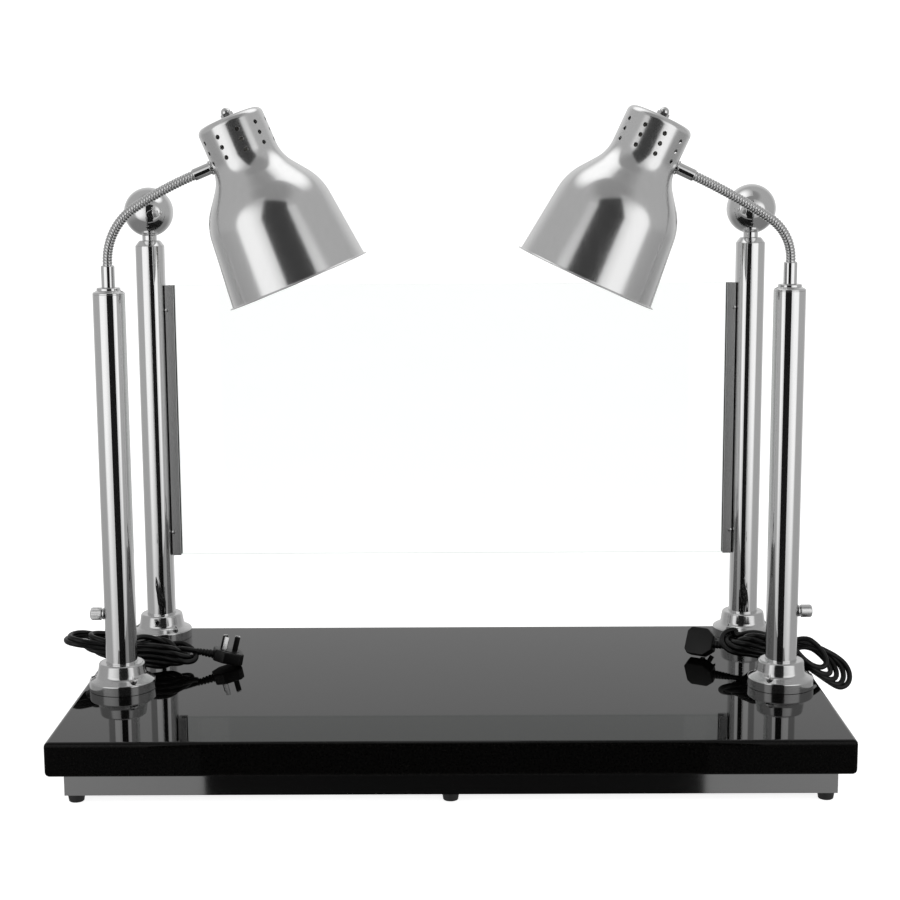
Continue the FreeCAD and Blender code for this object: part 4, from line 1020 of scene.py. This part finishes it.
def make_shade(side):
    """Spun bell with a flared lip, pierced by three rows of vents with slightly eased edges."""
    place = head_place(side)
    corners = [(0, 204.1), (39.4, 204.1, 7.1), (39.4, 143.9, 45.9), (72.5, 100.4, 69.1), (83.0, 0.2, 1.0),
               (85.0, -0.9), (87.5, -0.9, 0.4), (87.5, 0, 0.4), (84.3, 0.5, 1.6), (73.4, 100.5, 70),
               (40.3, 144, 45), (40.3, 205, 8), (0, 205)]
    turned(side + "_spun_shade", corners, place, "chrome_shade", side + "_head", side + "_shade", 160,
           holes=vent_cutters(side, place), steps=24)
    kept_node(side + "_shade_nuts", "nickel_trim", 0.35)


def make_bulb(side):
    place = head_place(side)
    corners = [(14, 188), (14, 150), (20, 150, 1.5), (20, 186, 1.0), (15, 192, 1.0), (5, 192), (5, 213),
               (2.5, 213), (2.5, 188)]
    turned(side + "_ceramic_holder", corners, place, "white_ceramic", side + "_head",
           side + "_lamp_holder", 64)
    corners = [(0, 18), (30.8, 20.4, 20), (56, 29, 12), (62.5, 48, 10), (61.5, 58, 14), (22, 120, 20),
               (21, 136, 4), (13.2, 146, 1), (13.2, 180), (4, 186), (0, 186)]
    turned(side + "_reflector_bulb", corners, place, "bulb_glass", side + "_head", side + "_heat_bulb")


def post_side(side):
    """Placement on a lamp post's outer side at the switch, +Z outward."""
    sign = SIDES[side]
    return post_at(side, "lamp", SWITCH_Z) @ at_mm(sign * POST_RADIUS, 0, 0) @ turn_about("Y", 90 * sign)


def make_switch(side):
    """Knob of one switch; the left knob is fluted, the right one plain, as two makers' spares are."""
    place = post_side(side) @ at_mm(0, 0, 3.6)
    foot = [(0, 10.5), (3.05, 10.5), (3.05, 0), (7.0, 0, 0.3), (7.75, 0.8, 0.3)]
    if side == "left":
        rings = [(7.75, height) for height in (3, 5, 7, 9)]
        spans = outline(foot + rings + [(7.75, 13.5, 3.2), (0, 13.5)])
        mesh = turned_mesh("left_knob_cap", spans, Matrix.Identity(4), 240)
        for vert in mesh.vertices:
            height = vert.co.z / MM
            reach = math.hypot(vert.co.x, vert.co.y) / MM
            if reach > 7.2 and 1.5 < height < 12.4:
                depth = FLUTE_DEPTH * max(0.0, math.cos(FLUTES * math.atan2(vert.co.y, vert.co.x))) ** 2
                vert.co.x *= 1 - depth / reach
                vert.co.y *= 1 - depth / reach
        mesh.transform(place)
        smooth_by_angle(mesh, 40)
        piece("left_knob_cap", mesh, "nickel_trim", "left_knob", ["left_switch_knob"])
    else:
        corners = foot + [(7.75, 13.5, 2.6), (0, 13.5)]
        turned("right_knob_cap", corners, place, "nickel_trim", "right_knob", "right_switch_knob")
    kept_node(side + "_switch_body", "black_plastic")


def make_ring_nuts():
    corners = [(5.05, 0.3), (7, 0.3, 0.3), (7, 2.3, 0.5), (5.05, 2.3)]
    rings = [solid_mesh(corners, post_side(side), 64, closed=True) for side in SIDES]
    joined_piece("ring_nuts", rings, "nickel_trim", "switch_ring_nuts")


def make_lamps():
    make_ring_nuts()
    for side in SIDES:
        make_switch(side)
        make_gland(side)
        make_ferrules(side)
        make_neck(side)
        make_shade(side)
        make_bulb(side)


# -------- studio

ROOM_GREY = 0.44
WALL_GREY = 0.44
REAR_LIGHT = 0.70
BACKDROP_LIGHT = 1.25
FLOOR_LIGHT, FLOOR_REACH = 0.86, 30
# The right wall's ends and its foot's inner end as (x, y), and its bright spot; the left one mirrors it.
WALL_NEAR, WALL_FAR, WALL_FOOT = (0.49, -1.11), (4.4, -1.78), (0.41, -1.10)
WALL_SPOT = (1.75, -1.32, 0.65)
WALL_LOW, WALL_TOP = -0.6, 1.95
DIM_CEILING = (0.0, -0.45, 0.893)      # toward the darker part of the ceiling, above the camera


def card(name, corners, material, camera=False):
    """A flat stage card, seen in reflections only unless it is told to show."""
    obj = new_object(name, new_mesh(name, corners, [(0, 1, 2, 3)]))
    obj.data.materials.append(material)
    obj.visible_camera = camera
    obj.visible_transmission = False
    obj.visible_shadow = False
    return obj


def glow(name, grey, peak=0.0, centre=(0, 0, 0), reach=(0.2, 1.0), stretch=(1, 1, 1)):
    """Emission of an even grey; with a peak, a soft bright spot round centre that fades out over reach.

    stretch above 1 shortens the spot along that axis.
    """
    material, tree, shader = new_material(name)
    tree.nodes.remove(shader)
    strength = grey
    if peak:
        place = add_node(tree, "TexCoord", {}, "Object")
        scaled = add_node(tree, "VectorMath", {0: place, 1: stretch}, operation="MULTIPLY")
        middle = [c * k for c, k in zip(centre, stretch)]
        distance = add_node(tree, "VectorMath", {0: scaled, 1: middle}, "Value", operation="DISTANCE")
        strength = spread(tree, distance, (peak, grey), reach, soft=True)
    light = add_node(tree, "Emission", {"Color": WHITE, "Strength": strength})
    tree.links.new(light, tree.nodes["Material Output"].inputs["Surface"])
    return material


def make_world():
    """White behind the object; in reflections a grey room, lighter at its rear, darker over the camera."""
    world = bpy.data.worlds.new("studio")
    scene.world = world
    world.use_nodes = True
    tree = world.node_tree
    direction = add_node(tree, "TexCoord", {}, "Generated")
    back, up = (add_node(tree, "SeparateXYZ", {"Vector": direction}, axis) for axis in "YZ")
    over = add_node(tree, "VectorMath", {0: direction, 1: DIM_CEILING}, "Value", operation="DOT_PRODUCT")
    rear = spread(tree, back, (ROOM_GREY, REAR_LIGHT), (0.45, 0.95), soft=True)
    dimming = spread(tree, over, (1.0, 0.62), (0.78, 0.96), soft=True)
    below = spread(tree, up, (0.50, 1.0), (-0.60, -0.05), soft=True)
    room = tree.nodes["Background"]
    set_inputs(tree, room, {"Color": WHITE, "Strength": product(tree, product(tree, rear, dimming), below)})
    backdrop = add_node(tree, "Background", {"Color": WHITE, "Strength": BACKDROP_LIGHT})
    seen = add_node(tree, "LightPath", {}, "Is Camera Ray")
    blend_shaders(tree, seen, room.outputs["Background"], backdrop, "World Output")


def make_floor():
    material, tree, shader = new_material("floor_paper")
    set_inputs(tree, shader, {
        "Base Color": ramp(tree, noise(tree, 2, 2), (0.3, 0.80), (0.7, 0.82)),
        "Roughness": 0.9,
        "Emission Color": WHITE,
        "Emission Strength": FLOOR_LIGHT,
    })
    floor = level_card("floor", (-FLOOR_REACH,) * 2, (FLOOR_REACH,) * 2, 0, material, camera=True)
    floor.visible_glossy = False
    floor.visible_transmission = True
    floor.location.z = -0.0002


def level_card(name, low, high, z, material, camera=False):
    """A card at height z between two corners, both (x, y)."""
    corners = [(*low, z), (high[0], low[1], z), (*high, z), (low[0], high[1], z)]
    return card(name, corners, material, camera)


def upright_card(name, start, end, low, high, material):
    """A card that stands over the line from start to end, both (x, y)."""
    return card(name, [(*start, low), (*end, low), (*end, high), (*start, high)], material)


def make_studio():
    """Two pale walls with soft bright spots flank a dark gap at the camera; a soft light hangs overhead."""
    scene.view_settings.view_transform = "Standard"
    make_world()
    make_floor()
    foot_top = -0.2        # below this height the walls come further in
    for side, sign in SIDES.items():
        spot = (sign * WALL_SPOT[0], *WALL_SPOT[1:])
        wall = glow(side + "_wall", WALL_GREY, 1.12, spot, (0.70, 1.95), (1, 1, 1.45))
        near, far, foot = ((sign * x, y) for x, y in (WALL_NEAR, WALL_FAR, WALL_FOOT))
        upright_card(side + "_wall", near, far, WALL_LOW, WALL_TOP, wall)
        plain = glow(side + "_wall_foot", WALL_GREY)
        upright_card(side + "_wall_foot", foot, near, WALL_LOW, foot_top, plain)
    reach, y = WALL_NEAR[0], WALL_NEAR[1] - 0.01
    dark = upright_card("dark_gap", (-reach, y), (reach, y), -0.8, 1.66, glow("dark_gap", 0.004))
    dark.visible_diffuse = False
    height = 1.20
    soft = glow("top_light", 0.42, 1.25, (0.0, 0.12, height), (0.10, 0.46))
    level_card("top_light", (-0.42, -0.10), (0.42, 0.52), height, soft)


# -------- build

make_camera()
make_cords()
make_ties()
make_table()
make_posts()
make_guard()
make_lamps()
make_studio()
bpy.context.view_layer.update()
